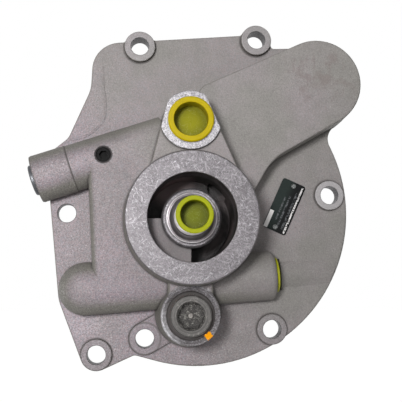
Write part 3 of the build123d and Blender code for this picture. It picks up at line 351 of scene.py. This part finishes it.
def rawSkin(f, maps):
    # Cloudy tint, pinker towards the lower left, with blasted grain
    grain = f.noise(0.62, 4.0, 0.78)
    fine = f.noise(1.02, 2.0, 0.6)
    patch = f.noise(0.07, 3.0, 0.6)
    cloud = f.smooth(f.noise(0.018, 3.0, 0.55), 0.35, 0.7)
    hue = f.smooth(f.noise(0.85, 2.0, 0.5), 0.42, 0.60)
    pinkness = f.smooth(f.x + f.z * 0.6, 60.0, -90.0)
    tint = f.mix(hue * 0.8, cast["tint"], cast["coolTint"])
    skin = f.mix(cloud * 0.4 + pinkness * 0.6, cast["colour"], tint)

    # Painted shade: slopes turned away from the front are darker and greener, less so on the right, and the
    # casting darkens towards the lower right as painted light fall-off from the left
    forward = -f.parts(f.node("ShaderNodeNewGeometry", {}, {}, "True Normal"))[1]
    slope = f.smooth(forward, 0.96, 0.66) * f.smooth(forward, -0.6, -0.1)
    skin = f.mix(slope * (1.0 - f.smooth(f.x, 20.0, 60.0) * 0.5), skin, cast["olive"])
    skin = f.shaded(skin, 0.95 - f.smooth(f.x - f.z, -70.0, 170.0) * 0.20)
    speckle = ((grain - 0.5) * 0.74 + (fine - 0.5) * 0.92) * (0.75 + pinkness * 0.85)
    skin = f.shaded(skin, 1.0 + speckle + (patch - 0.5) * 0.26)

    # Glitter, pits, nicks, and stains on the arm's lobe
    sparkle = f.smooth(f.noise(1.05, 2.0, 0.5), 0.63, 0.72)
    speck = f.smooth(f.cells(0.42), 0.20, 0.06) * f.smooth(f.noise(0.11), 0.46, 0.58)
    pitCells = f.cells(0.30, f.stretched(f.here, (1.0, 0.6, 1.2)))
    pits = f.smooth(pitCells, 0.16, 0.07) * f.smooth(patch, 0.5, 0.6)
    onLobe = f.smooth(f.reach(lobeCentre), 46.0, 18.0)
    stains = f.smooth(f.noise(0.055, 4.0, 0.65), 0.50, 0.66) * onLobe
    dripNoise = f.noise(0.09, 3.0, 0.6, f.stretched(f.here, (2.2, 1.0, 0.7)))
    drips = f.smooth(dripNoise, 0.55, 0.70) * onLobe
    nicks = scratches(f, 24.0, 0.085, 0.05, 3.0) * f.smooth(f.noise(0.03, 1.0), 0.52, 0.60)
    skin = f.mix(f.most(sparkle * 0.42, speck * 0.38) * (0.30 + pinkness * 0.70), skin, cast["sparkle"])
    skin = f.mix(pits * 0.45, skin, cast["shade"])
    skin = f.mix(f.most(stains * 0.42, drips * 0.34), skin, cast["smudge"])
    maps.grain, maps.nicks = grain, nicks
    maps.rawHeight = grain * 0.62 + fine * 0.26 + patch * 0.5 - pits * 0.3 + speck * 0.15
    return f.mix(nicks * 0.7, skin, cast["bright"])


def wornSkin(f, maps, skin):
    # Painted shade on the valve cylinder's upper flank and foot, in the creases and round the pads' feet; a
    # dark line across the valve cylinder, and a near-black ring round the gallery's plug
    # How open each point is, which sets the painted shade in the creases
    sight = {"Distance": cast["creaseReach"] * mm}
    openness = f.node("ShaderNodeAmbientOcclusion", {"samples": 6, "only_local": True}, sight, "AO")
    plugReach = f.reach(plugCentre) + (maps.grain - 0.5) * 2.0
    plugEdge = f.smooth(plugReach, 7.9, 6.9) * f.smooth(f.h, 29.0, 31.0)
    skin = f.shaded(skin, 1.0 - maps.valveTop * 0.20 - maps.valveFoot * 0.12)
    skin = f.mix(f.most(maps.padLine * 0.65, maps.slit * 0.75), skin, cast["shade"])
    skin = f.mix(f.smooth(openness, 0.93, 0.60) * 0.72, skin, cast["crease"])
    skin = f.mix(plugEdge * 0.92, skin, cast["oiled"])

    # A painted highlight on the dome's tip, and a bright rubbed patch at the burr under the gallery's left
    # end
    domeTip = f.smooth(f.distance(cast["domeTip"]), 11.0, 5.0)
    burr = f.smooth(f.distance(cast["burr"]), 22.0, 12.0) * f.between(f.h, 11.2, 15.0, 1.0)
    rubbed = f.most(domeTip, burr) * f.smooth(maps.grain, 0.44, 0.58)
    return f.mix(rubbed * 0.22, skin, cast["sparkle"])


def cutSkin(f, maps):
    # Silvery metal, covered in short strokes both brighter and darker than it
    mottle = f.noise(0.85, 5.0, 0.76, distortion=0.4)
    clouds = f.noise(0.10, 3.0, 0.6)
    strokes = f.most(*[f.smooth(strokeNoise(f, *stroke), 0.57, 0.68) for stroke in cast["strokes"]])
    furrows = f.most(*[f.smooth(strokeNoise(f, *furrow), 0.58, 0.69) for furrow in cast["furrows"]])
    lines = f.most(*[scratches(f, *line) for line in cast["lines"]])
    level = 0.52 + f.smooth(mottle, 0.30, 0.70) * 0.72 + (clouds - 0.5) * 0.55
    bare = f.mix(strokes * 0.18, f.shaded(cast["machined"], level), cast["bright"])
    bare = f.mix(furrows * 0.26, bare, cast["shade"])
    bare = f.mix(lines * f.smooth(mottle, 0.36, 0.52) * 0.36, bare, cast["bright"])

    # Painted highlights brighten the port face, the pads, the back and the relief boss's rim, the low pads
    # more the higher they stand and the rim most at its left
    rimLight = f.smooth(f.distance(cast["rimLight"]) + (mottle - 0.5) * 30.0, 20.0, 8.0)
    shine = f.most(
        maps.portFace * (0.10 + f.smooth(mottle, 0.44, 0.60) * 0.30),
        maps.tallPads * 0.20,
        maps.back * 0.26,
        maps.lowPads * f.smooth(f.z, -70.0, 10.0) * 0.50,
        maps.reliefRim * rimLight * 0.62,
        maps.reliefRim * f.smooth(mottle, 0.50, 0.60) * 0.34,
    )
    dull = f.smooth(f.noise(0.40, 4.0, 0.75, distortion=0.8), 0.56, 0.42)
    bare = f.mix(shine, bare, cast["bright"])
    bare = f.mix(maps.reliefRim * dull * 0.55, bare, cast["shade"])
    maps.mottle, maps.strokes = mottle, strokes
    maps.cutHeight = mottle * 0.12 + strokes * 0.08 - furrows * 0.10 - lines * 0.10
    return f.mix(maps.ringEdge * 0.5, bare, cast["shade"])


def oiledSkin(f, maps, colour):
    # Painted shade darkens the filter cavity, the holes and the inside passages, which also hold
    # rust-proofing oil, and a painted sheen lightens the cavity's upper and right walls
    film = f.smooth(f.noise(0.035, 3.0, 0.55, f.stretched(f.here, (1.0, 0.5, 1.0)), 0.8), 0.44, 0.62)
    upperSheen = f.smooth(f.distance(cast["upperSheen"]), 26.0, 12.0)
    rightSheen = f.smooth(f.distance(cast["rightSheen"]), 18.0, 5.0)
    sheen = f.most(film * 0.12, f.most(upperSheen, rightSheen * 0.45) * (0.75 + film * 0.25))
    oil = f.mix(sheen, cast["oiled"], cast["oilSheen"])
    colour = f.mix(f.most(maps.depth * 0.98, maps.bowl * 0.90, maps.trough * 0.98), colour, oil)
    colour = f.mix(maps.web * 0.55, colour, cast["webGrey"])
    return f.mix(maps.bores * 0.6, colour, cast["oiled"])


def paintDab(f):
    # Square dab of paint with a ragged edge, which marks the plug as checked
    across, _, up = f.parts(f.turned(*cast["dab"]))
    edge = f.most(abs(across), abs(up)) + (f.noise(0.6) - 0.5) * 2.2
    return f.smooth(edge, 2.9, 2.5) * f.smooth(f.h, 44.0, 45.0)


def castFinish():
    f = Finish("castAluminium")
    maps = castPlaces(f)
    skin = wornSkin(f, maps, rawSkin(f, maps))
    colour = f.mix(maps.cut, skin, cutSkin(f, maps))
    # Painted shade in the groove round the relief plug
    grooveDirt = f.shaded(cast["grooveDirt"], 0.3 + maps.mottle * 1.4)
    colour = oiledSkin(f, maps, f.mix(maps.groove * 0.92, colour, grooveDirt))
    paint = paintDab(f)
    wet = f.most(maps.depth, maps.bowl)
    rawRough = 0.58 + (maps.grain - 0.5) * 0.35
    cutRough = 0.44 + (maps.mottle - 0.5) * 0.45 - maps.strokes * 0.1
    height = f.blended(maps.cut, maps.rawHeight, maps.cutHeight) - maps.nicks * 0.3 + paint * 0.4
    return f.close(
        Base_Color=f.mix(paint, colour, cast["paint"]),
        Metallic=(0.07 + maps.cut * 0.50 - maps.reliefRim * 0.45) * (1.0 - paint) * (1.0 - wet * 0.75),
        Roughness=f.blended(maps.cut, rawRough, cutRough) - wet * 0.12,
        Normal=f.bump(height, 0.46, f.soft(cast["softEdge"])),
        Specular_IOR_Level=0.26,
    )


wear(castFinish(), "pump_cover")
print("casting finished")


# Plain metals

metals = {
    # Colour, then roughness, metalness, scale of the grain, and how far the tone wanders
    "steel": ((0.46, 0.46, 0.47), 0.30, 0.95, 0.9, 0.16),
    "darkSteel": ((0.16, 0.16, 0.17), 0.32, 0.90, 0.7, 0.25),
    "zincSteel": ((0.44, 0.49, 0.55), 0.34, 0.85, 0.5, 0.22),
    "plugSteel": ((0.094, 0.098, 0.106), 0.42, 0.70, 0.5, 0.30),
    "springSteel": ((0.22, 0.22, 0.24), 0.30, 0.95, 1.4, 0.15),
    "copper": ((0.66, 0.30, 0.19), 0.38, 0.95, 0.6, 0.20),
    "bronze": ((0.50, 0.34, 0.16), 0.36, 0.95, 0.8, 0.18),
    "blockAluminium": ((0.37, 0.365, 0.365), 0.40, 0.60, 0.6, 0.16),
}
oilSmudge = (0.10, 0.09, 0.08)


def metalFinish(name, extra=None):
    # Machined metal: fine tool lines round y, clouding, and darker smudges of oil
    tone, roughness, metalness, grainScale, spread = metals[name]
    f = Finish(name)
    cloud = f.noise(0.06, 3.0, 0.6)
    grain = f.noise(grainScale, 3.0, 0.7)
    lines = f.noise(0.5, 2.0, 0.5, f.stretched(f.here, (0.3, 7.0, 0.3)))
    smudge = f.smooth(f.noise(0.035, 4.0, 0.6), 0.50, 0.68)
    value = 1.0 + (cloud - 0.5) * spread * 2 + (grain - 0.5) * spread + (lines - 0.5) * 0.14
    colour = f.shaded(f.mix(smudge * 0.25, tone, oilSmudge), value)
    height = lines * 0.5 + grain * 0.35
    if extra:
        colour, height = extra(f, colour, height)
    return f.close(
        Base_Color=colour,
        Metallic=metalness,
        Roughness=roughness + (grain - 0.5) * 0.16 + smudge * 0.10,
        Normal=f.bump(height, 0.06, f.soft(0.35, 4)),
    )


shaftEnd = {"pitch": 1.5, "from": -125.0, "radius": 6.6, "dirt": (0.03, 0.03, 0.03)}


def shaftThread(f, colour, height):
    # Right-hand thread on the shaft's end: a triangle wave of height over pitch less the angle
    turns = f.h / shaftEnd["pitch"] - f.angle(driveCentre)
    groove = f.math("PINGPONG", turns, 0.5) * 2.0
    along = f.smooth(f.h, shaftEnd["from"], shaftEnd["from"] - 0.6)
    place = along * f.smooth(f.reach(driveCentre), shaftEnd["radius"], shaftEnd["radius"] - 0.4)
    dirty = place * f.smooth(groove, 0.35, 0.05) * 0.6
    return f.mix(dirty, colour, shaftEnd["dirt"]), height + groove * place * 8.0


wear(metalFinish("steel", shaftThread), "drive_shaft")
wear(
    metalFinish("steel"),
    "driven_gear",
    "valve_spool",
    "relief_poppet",
    "relief_seat",
    "dowel_pins",
    "shaft_key",
)
wear(metalFinish("darkSteel"), "input_gear", "shaft_nut")
wear(metalFinish("plugSteel"), "valve_plug", "valve_plug_washer")
wear(metalFinish("zincSteel"), "housing_bolts", "bolt_washers", "shaft_washer")
wear(metalFinish("springSteel"), "relief_spring", "spool_spring", "seal_circlip")
wear(metalFinish("blockAluminium"), "pump_body", "rear_cover", "front_bearing_block", "rear_bearing_block")
wear(metalFinish("bronze"), "front_bushes", "rear_bushes")
wear(metalFinish("copper"), "relief_plug_seal")
print("plain metals finished")


# Relief plug

reliefPlug = {
    "face": (0.060, 0.056, 0.053),
    "dark": (0.021, 0.019, 0.018),
    "fleck": (0.34, 0.33, 0.30),
    "nub": (0.21, 0.195, 0.18),
    "mouth": 11.6,
}


def reliefPlugFinish():
    # Turned and dull on the face
    f = Finish("reliefPlugSteel")
    reach = f.reach(reliefCentre)
    messy = f.noise(0.42, 5.0, 0.75, distortion=1.4)
    turning = f.noise(1.0, 3.0, 0.6, f.vector(reach * 1.9))
    cloud = f.noise(0.16, 4.0, 0.7)
    face = f.shaded(reliefPlug["face"], f.smooth(turning, 0.40, 0.60) * 1.35 + cloud * 0.70)
    worn = f.smooth(messy, 0.54, 0.66) * f.smooth(cloud, 0.45, 0.6)
    face = f.mix(worn * 0.5, face, reliefPlug["fleck"])

    # Crusted and dark in the socket, with bright torn flecks, and a rubbed nub in the middle
    wander = (messy - 0.5) * 3.0
    socket = f.smooth(reach + wander, reliefPlug["mouth"] + 0.2, reliefPlug["mouth"] - 1.2)
    crust = f.shaded(reliefPlug["dark"], 0.5 + messy * 1.7)
    flecks = f.smooth(f.noise(0.33, 4.0, 0.8, distortion=3.2), 0.55, 0.63) * socket
    streak = f.smooth(f.noise(0.13, 3.0, 0.7, distortion=2.2), 0.55, 0.62) * socket
    nub = f.smooth(reach + (messy - 0.5) * 3.4, 3.0, 1.6)
    colour = f.mix(socket * 0.94, face, crust)
    colour = f.mix(f.most(flecks * 0.78, streak * 0.36), colour, reliefPlug["fleck"])
    height = turning * 0.25 + messy * (0.3 + socket * 1.7)
    return f.close(
        Base_Color=f.mix(nub * 0.60, colour, reliefPlug["nub"]),
        Metallic=0.45,
        Roughness=0.42 + socket * 0.14 - nub * 0.18 + (cloud - 0.5) * 0.2,
        Normal=f.bump(height, 0.28, f.soft(0.5, 4)),
    )


wear(reliefPlugFinish(), "relief_plug")


# Black plug in the gallery drilling

blackPlug = {"colour": (0.0032, 0.003, 0.003), "worn": (0.09, 0.09, 0.09)}


def blackFinish():
    f = Finish("blackOxide")
    cloud = f.noise(0.5, 3.0, 0.6)
    worn = f.smooth(f.noise(1.4, 3.0, 0.7), 0.58, 0.70)
    return f.close(
        Base_Color=f.mix(worn * 0.25, f.shaded(blackPlug["colour"], 0.7 + cloud), blackPlug["worn"]),
        Roughness=0.50 + (cloud - 0.5) * 0.3,
        Normal=f.bump(cloud, 0.08, f.soft(0.3, 4)),
        Specular_IOR_Level=0.06,
    )


wear(blackFinish(), "gallery_plug")


# Transport caps

caps = {
    "upper_port_cap": {
        "rim": (0.415, 0.320, 0.001),
        "cup": (0.165, 0.160, 0.001),
        "axis": portCentre,
        "top": 65.4,
        "inner": 13.5,
    },
    "nipple_cap": {
        "rim": (0.275, 0.297, 0.002),
        "cup": (0.094, 0.106, 0.002),
        "axis": ringCentre,
        "top": 89.0,
        "inner": 10.7,
    },
}
capSeam = (0.5, 0.5, 0.2)


def capFinish(name):
    # Soft plastic, bright on the rim. Painted shade darkens the cup, which a dark bore also backs, and the
    # cup's floor is painted lighter in its middle
    look = caps[name]
    top, inner = look["top"], look["inner"]
    f = Finish(name + "Plastic")
    reach = f.reach(look["axis"])
    cup = f.smooth(reach, inner + 0.15, inner - 0.15) * f.smooth(f.h, top - 0.4, top - 4.0)
    floor = f.smooth(f.h, top - 9.0, top - 12.0) * cup
    cloud = f.noise(0.14, 3.0, 0.6)
    skin = f.noise(0.9)
    middle = f.smooth(reach, inner, 0.2 * inner)
    colour = f.mix(cup, f.shaded(look["rim"], 0.92 + cloud * 0.16), look["cup"])
    colour = f.shaded(colour, 1.0 + floor * (middle * 0.55 - 0.1) + (cloud - 0.5) * 0.3 * floor)
    gate = f.between(reach, 0.0, 0.9, 0.3) * floor  # where the plastic entered the mould
    seam = f.smooth(abs(f.noise(0.30, 1.0) - 0.5), 0.012, 0.004)
    return f.close(
        Base_Color=f.mix(seam * floor * 0.25, colour, capSeam),
        Roughness=0.42 + (skin - 0.5) * 0.16,
        Normal=f.bump(skin * 0.25 + gate * 0.8 + cloud * 0.8, 0.12, f.soft(0.4, 4)),
        Specular_IOR_Level=0.13,
        Subsurface_Weight=0.10,
        Subsurface_Radius=(0.002, 0.002, 0.0006),
        Subsurface_Scale=1.0,
    )


for name in caps:
    wear(capFinish(name), name)

sideCap = {"rim": (0.30, 0.305, 0.003), "cup": (0.17, 0.21, 0.015), "mouth": 72.5}


def sideCapFinish():
    # The same plastic, with painted shade making it darker inside the mouth at the gallery's right end
    f = Finish("sidePortCapPlastic")
    cloud = f.noise(0.14, 3.0, 0.6)
    skin = f.noise(0.9)
    inside = f.smooth(f.x, sideCap["mouth"], sideCap["mouth"] - 4.5)
    return f.close(
        Base_Color=f.mix(inside, f.shaded(sideCap["rim"], 0.9 + cloud * 0.2), sideCap["cup"]),
        Roughness=0.34 + (skin - 0.5) * 0.12,
        Normal=f.bump(skin * 0.3 + cloud, 0.1, f.soft(0.4, 4)),
        Specular_IOR_Level=0.25,
    )


wear(sideCapFinish(), "side_port_cap")
print("caps finished")


# Nameplate: plain bars stand where a plate has its print

plate = {
    "dark": (0.0030, 0.0032, 0.0036),
    "green": (0.0150, 0.0215, 0.0195),
    "pale": (0.78, 0.76, 0.75),
    "dim": (0.135, 0.140, 0.148),
    "scuff": (0.25, 0.25, 0.25),
    "pin": (0.150, 0.156, 0.154),
    # Bars as middle along and across the plate, half length and half width in mm
    "field": [(-14.8, 8.3, 7.8, 1.75)],
    "stripe": [(-0.2, -8.3, 21.6, 0.75)],
    "rows": [(-2.0, -5.6, 17.0, 0.9), (-4.5, -1.2, 15.0, 0.8), (-3.0, 2.4, 11.0, 0.7)],
}


def plateFinish():
    f = Finish("printedPlate")
    along, _, across = f.parts(f.turned(plateCentre, plateLean))

    def bars(places):
        marks = []
        for middle, side, halfLength, halfWidth in places:
            inLength = f.smooth(abs(along - middle), halfLength + 0.15, halfLength - 0.15)
            marks.append(inLength * f.smooth(abs(across - side), halfWidth + 0.15, halfWidth - 0.15))
        return f.most(*marks)

    rub = f.noise(0.5, 4.0, 0.7)
    worn = f.smooth(f.noise(0.9, 3.0, 0.7), 0.46, 0.56)
    broken = f.smooth(f.noise(1.05), 0.42, 0.50)
    tone = f.mix(f.smooth(across, -4.0, 5.0), plate["dark"], plate["green"])
    printed = f.mix(bars(plate["rows"]) * worn * 0.7, f.shaded(tone, 0.6 + rub * 0.8), plate["dim"])
    printed = f.mix(bars(plate["stripe"]) * broken * 0.85, printed, plate["pale"])
    printed = f.mix(bars(plate["field"]) * (0.85 + rub * 0.15), printed, plate["pale"])
    return f.close(
        Base_Color=f.mix(scratches(f, 15.0, 0.25, 0.06, 2.0) * 0.12, printed, plate["scuff"]),
        Roughness=0.50 + (rub - 0.5) * 0.25,
        Normal=f.bump(rub, 0.03, f.soft(0.2, 4)),
        Specular_IOR_Level=0.10,
    )


def pinFinish():
    f = Finish("drivePin")
    grain = f.noise(1.8, 3.0, 0.6)
    return f.close(
        Base_Color=f.shaded(plate["pin"], f.smooth(grain, 0.40, 0.62) * 1.3 + 0.15),
        Metallic=0.8,
        Roughness=0.35 + (grain - 0.5) * 0.2,
        Normal=f.bump(grain, 0.05, f.soft(0.3, 4)),
    )


wear(plateFinish(), "nameplate")
wear(pinFinish(), "nameplate_pins")


# Rubber

rubber = {"colour": (0.012, 0.012, 0.012), "dust": (0.08, 0.08, 0.075)}


def rubberFinish():
    f = Finish("oilyRubber")
    cloud = f.noise(0.3, 3.0, 0.6)
    dust = f.smooth(f.noise(1.2, 3.0, 0.7), 0.55, 0.7)
    return f.close(
        Base_Color=f.mix(dust * 0.2, rubber["colour"], rubber["dust"]),
        Roughness=0.5 + (cloud - 0.5) * 0.3,
        Normal=f.bump(cloud + dust * 0.2, 0.05),
    )


wear(rubberFinish(), "shaft_seal", "body_seals")
print("plate, pins and rubber finished")


# Filter nipple with a real thread

nipple = {
    # Heights in mm, from the screwed foot up
    "screwFoot": 36.3,
    "seat": 55.5,
    "collarTop": 58.0,
    "flareTop": 63.0,
    "end": 87.0,
    # Radii
    "screwRadius": 16.95,
    "collarRadius": 20.3,
    "coneFoot": 18.2,
    "coneTop": (15.1, 60.4),  # radius and height
    "crest": 14.3,
    "root": 13.35,
    "bore": 11.9,
    "pitch": 1.5,
    "around": 128,
    "turned": (0.34, 0.32, 0.33),
    "threaded": (0.86, 0.82, 0.83),
    "smudge": (0.19, 0.17, 0.165),
}


def meshPiece(name, grid, ring=True):
    # A grid of points [row, step, xyz] in metres, closed along its steps. Its last row meets its
    # first if it is a ring, and otherwise one face closes each end.
    rows, steps = grid.shape[:2]
    index = np.arange(rows * steps).reshape(rows, steps)
    aside = np.roll(index, -1, axis=1)
    if ring:
        quads = np.stack([index, aside, np.roll(aside, -1, axis=0), np.roll(index, -1, axis=0)], axis=-1)
        ends = []
    else:
        quads = np.stack([index[:-1], aside[:-1], aside[1:], index[1:]], axis=-1)
        ends = [index[0, ::-1].tolist(), index[-1].tolist()]
    mesh = bpy.data.meshes.new(name)
    mesh.from_pydata(grid.reshape(-1, 3).tolist(), [], quads.reshape(-1, 4).tolist() + ends)
    piece = bpy.data.objects.new(name, mesh)
    bpy.context.scene.collection.objects.link(piece)
    return piece


def nippleSurface():
    # A half profile of (radius, height) is carried round the axis. On its threaded stretch the radius
    # is the root plus the depth times a rounded triangle wave of height over pitch less the angle.
    n = nipple
    foot, seat, collarTop, end = n["screwFoot"], n["seat"], n["collarTop"], n["end"]
    screw, collar, cone, crest, bore = (
        n[key] for key in ("screwRadius", "collarRadius", "coneFoot", "crest", "bore")
    )
    screwPart = [(bore, foot), (screw - 0.8, foot), (screw, foot + 0.8), (screw, seat)]
    collarPart = [
        (collar - 0.15, seat),
        (collar, seat + 0.15),
        (collar, collarTop - 0.5),
        (collar - 0.4, collarTop - 0.05),
    ]
    grooveBottom = collarTop - 0.7
    groovePart = [
        (cone + 0.6, collarTop),
        (cone + 0.3, grooveBottom),
        (cone, grooveBottom),
        (cone - 0.3, collarTop + 0.4),
    ]

    # The cone bends into the thread along a curve through three points
    t = np.linspace(0.0, 1.0, 12)[:, None]
    coneTop = np.array(n["coneTop"])
    bend = np.array([crest, coneTop[1] + 0.6])
    threadFoot = np.array([crest, n["flareTop"]])
    bendPart = (1 - t) ** 2 * coneTop + 2 * t * (1 - t) * bend + t**2 * threadFoot
    threadHeight = np.linspace(n["flareTop"], end - 0.9, 170)
    threadPart = np.stack([np.full(threadHeight.size, crest), threadHeight], axis=1)
    lipPart = [(n["root"] - 0.25, end), (bore + 0.35, end), (bore, end - 0.35), (bore, foot + 1.0)]
    profile = np.vstack([screwPart, collarPart, groovePart, bendPart, threadPart, lipPart])

    angle = np.linspace(0.0, 2 * math.pi, n["around"], endpoint=False)
    r, z = (np.repeat(column[:, None], angle.size, axis=1) for column in profile.T)
    phase = (z / n["pitch"] - angle[None, :] / (2 * math.pi)) % 1.0
    wave = np.clip(1.25 * (1 - np.abs(2 * phase - 1)) - 0.1, 0.0, 1.0)
    fade = np.clip((z - n["flareTop"]) / 1.6, 0, 1) * np.clip((end - 0.5 - z) / 1.2, 0, 1)
    threaded = (np.abs(r - crest) < 1e-6) & (z >= n["flareTop"])
    r = np.where(threaded, crest - (crest - n["root"]) * fade * (1 - wave), r)
    grid = np.stack([r * np.cos(angle), -z, r * np.sin(angle)], axis=-1) * mm
    piece = meshPiece("filterNipple", grid)
    piece.data.flip_normals()
    piece.data.polygons.foreach_set("use_smooth", np.ones(len(piece.data.polygons), dtype=bool))
    return piece


def nippleFinish():
    # Turned steel with tool lines round its axis, paler on the thread
    f = Finish("turnedSteel")
    rings = f.noise(1.0, 3.0, 0.6, f.vector(f.reach(ringCentre) * 1.7, f.h * 1.7))
    cloud = f.noise(0.12, 3.0, 0.6)
    smudge = f.smooth(f.noise(0.09, 4.0, 0.6), 0.5, 0.66)
    thread = f.smooth(f.h, nipple["flareTop"] - 1.0, nipple["flareTop"] + 0.5)
    metal = f.mix(smudge * 0.3, f.mix(thread, nipple["turned"], nipple["threaded"]), nipple["smudge"])
    return f.close(
        Base_Color=f.shaded(metal, 0.66 + rings * 0.36 + cloud * 0.3),
        Metallic=0.92 - thread * 0.45,
        Roughness=0.32 + smudge * 0.10 + (cloud - 0.5) * 0.16,
        Normal=f.bump(rings, 0.012),
    )


nipplePiece = nippleSurface()
nipplePiece.data.materials.append(nippleFinish())
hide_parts("filter_nipple")
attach(nipplePiece, "housing")
print("nipple made")


# The step that the pattern left across the upper left of the flange

step = {
    "route": [
        (-74.4, 133.8), (-73.4, 116.3), (-72.0, 106.2), (-71.9, 92.4),
        (-74.6, 84.4), (-83.5, 75.7), (-92.5, 71.5), (-101.4, 69.4),
    ],
    "level": 11.0,
    "height": 0.22,
    "width": 1.5,
    "sunk": -0.3,
    "stations": 120,
    "fade": 14.0,
}


def stepSurface():
    # A low ridge, steep on one side, carried along a smooth curve through the route's points
    count = step["stations"]
    route = np.array(step["route"])
    places = np.linspace(0, len(route) - 1, count)
    base = np.clip(places.astype(int), 0, len(route) - 2)
    t = (places - base)[:, None]
    padded = np.vstack([2 * route[0] - route[1], route, 2 * route[-1] - route[-2]])
    p0, p1, p2, p3 = (padded[base + k] for k in range(4))
    square = (2 * p0 - 5 * p1 + 4 * p2 - p3) * t**2
    cube = (3 * p1 - p0 - 3 * p2 + p3) * t**3
    path = 0.5 * (2 * p1 + (p2 - p0) * t + square + cube)
    ahead = np.gradient(path, axis=0)
    ahead /= np.linalg.norm(ahead, axis=1, keepdims=True)
    aside = np.stack([ahead[:, 1], -ahead[:, 0]], axis=1)
    width, top, sunk = step["width"], step["height"], step["sunk"]
    across = np.array([-1.0, -0.5, 0.0, 0.12, 0.3, 0.3, -1.0]) * width
    rise = np.array([0.0, 0.6 * top, top, 0.8 * top, 0.0, sunk, sunk])
    number = np.arange(count)
    fade = np.clip(np.minimum(number, number[::-1]) / step["fade"], 0.0, 1.0)[:, None]
    points = path[:, None, :] + aside[:, None, :] * across[None, :, None]
    lift = step["level"] + np.where(rise > 0, rise * fade, rise[None, :])
    grid = np.stack([points[..., 0], -lift, points[..., 1]], axis=-1) * mm
    return meshPiece("patternStep", grid, ring=False)


stepPiece = stepSurface()
stepPiece.data.materials.append(nodes["pump_cover"].data.materials[0])
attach(stepPiece, "housing")
print("pattern step made")


# Floor, light and camera

studio = {
    "floorDrop": 0.52,
    "floorSize": 9.0,
    "paper": (0.82, 0.82, 0.82),
    "worldLevel": 0.19,
    # Each lamp as place in m, size in m and power in W
    "key": ((-0.32, -1.05, 0.10), 0.24, 11.0),
    "side": ((-0.95, -0.80, 0.15), 0.70, 0.3),
    "fill": ((0.50, -1.30, 0.60), 0.90, 2.2),
    # The camera's place in m, the way it looks and its lens in mm
    "camera": ((-0.03623, -0.600, -0.04530), (0.0791, 0.9911, 0.1069), 62.47),
}

side, low = studio["floorSize"], -studio["floorDrop"]
floorMesh = bpy.data.meshes.new("studioFloor")
corners = [(-side, -side, low), (side, -side, low), (side, side, low), (-side, side, low)]
floorMesh.from_pydata(corners, [], [(0, 1, 2, 3)])
floor = bpy.data.objects.new("studioFloor", floorMesh)
bpy.context.scene.collection.objects.link(floor)


def seenWhite(f):
    # 1 for rays that show the background: the camera's, and those that metal and plastic mirror
    path = f.add("ShaderNodeLightPath", {}, {})
    rays = ("Is Camera Ray", "Is Glossy Ray", "Is Transmission Ray")
    return f.most(*[Wire(f, path.outputs[ray]) for ray in rays])


def floorFinish():
    # Pale paper that takes shadows, mostly pure white to the camera
    f = Finish("paleFloor")
    paper = f.node("ShaderNodeBsdfDiffuse", {}, {"Color": studio["paper"]})
    white = f.node("ShaderNodeEmission", {}, {"Color": (1, 1, 1), "Strength": 1.2})
    mixed = f.node("ShaderNodeMixShader", {}, {0: seenWhite(f) * 0.82, 1: paper, 2: white})
    f.add("ShaderNodeOutputMaterial", {}, {"Surface": mixed})
    return f.material


floorMesh.materials.append(floorFinish())


class Sky(Finish):
    # The same node tools on the world's tree

    def __init__(self, world):
        world.use_nodes = True
        self.tree = world.node_tree
        self.tree.nodes.clear()


world = bpy.data.worlds.new("studio")
bpy.context.scene.world = world
sky = Sky(world)
level = seenWhite(sky) * (1.0 - studio["worldLevel"]) + studio["worldLevel"]
background = sky.node("ShaderNodeBackground", {}, {"Color": (1, 1, 1), "Strength": level})
sky.add("ShaderNodeOutputWorld", {}, {"Surface": background})

for name in ("key", "side", "fill"):
    place, size, power = studio[name]
    lamp = bpy.data.lights.new(name + "Light", "AREA")
    lamp.shape = "DISK"
    lamp.size = size
    lamp.energy = power
    box = bpy.data.objects.new(name + "Light", lamp)
    box.location = place
    box.rotation_euler = (-Vector(place)).to_track_quat("-Z", "Y").to_euler()
    bpy.context.scene.collection.objects.link(box)

place, ahead, lens = studio["camera"]
camera = bpy.data.objects.new("camera", bpy.data.cameras.new("camera"))
camera.data.lens = lens
camera.data.sensor_width = 36.0
camera.data.clip_start = 0.01
camera.location = place
camera.rotation_euler = Vector(ahead).to_track_quat("-Z", "Y").to_euler()
bpy.context.scene.collection.objects.link(camera)
bpy.context.scene.camera = camera
bpy.context.scene.view_settings.view_transform = "Standard"
print("studio set")
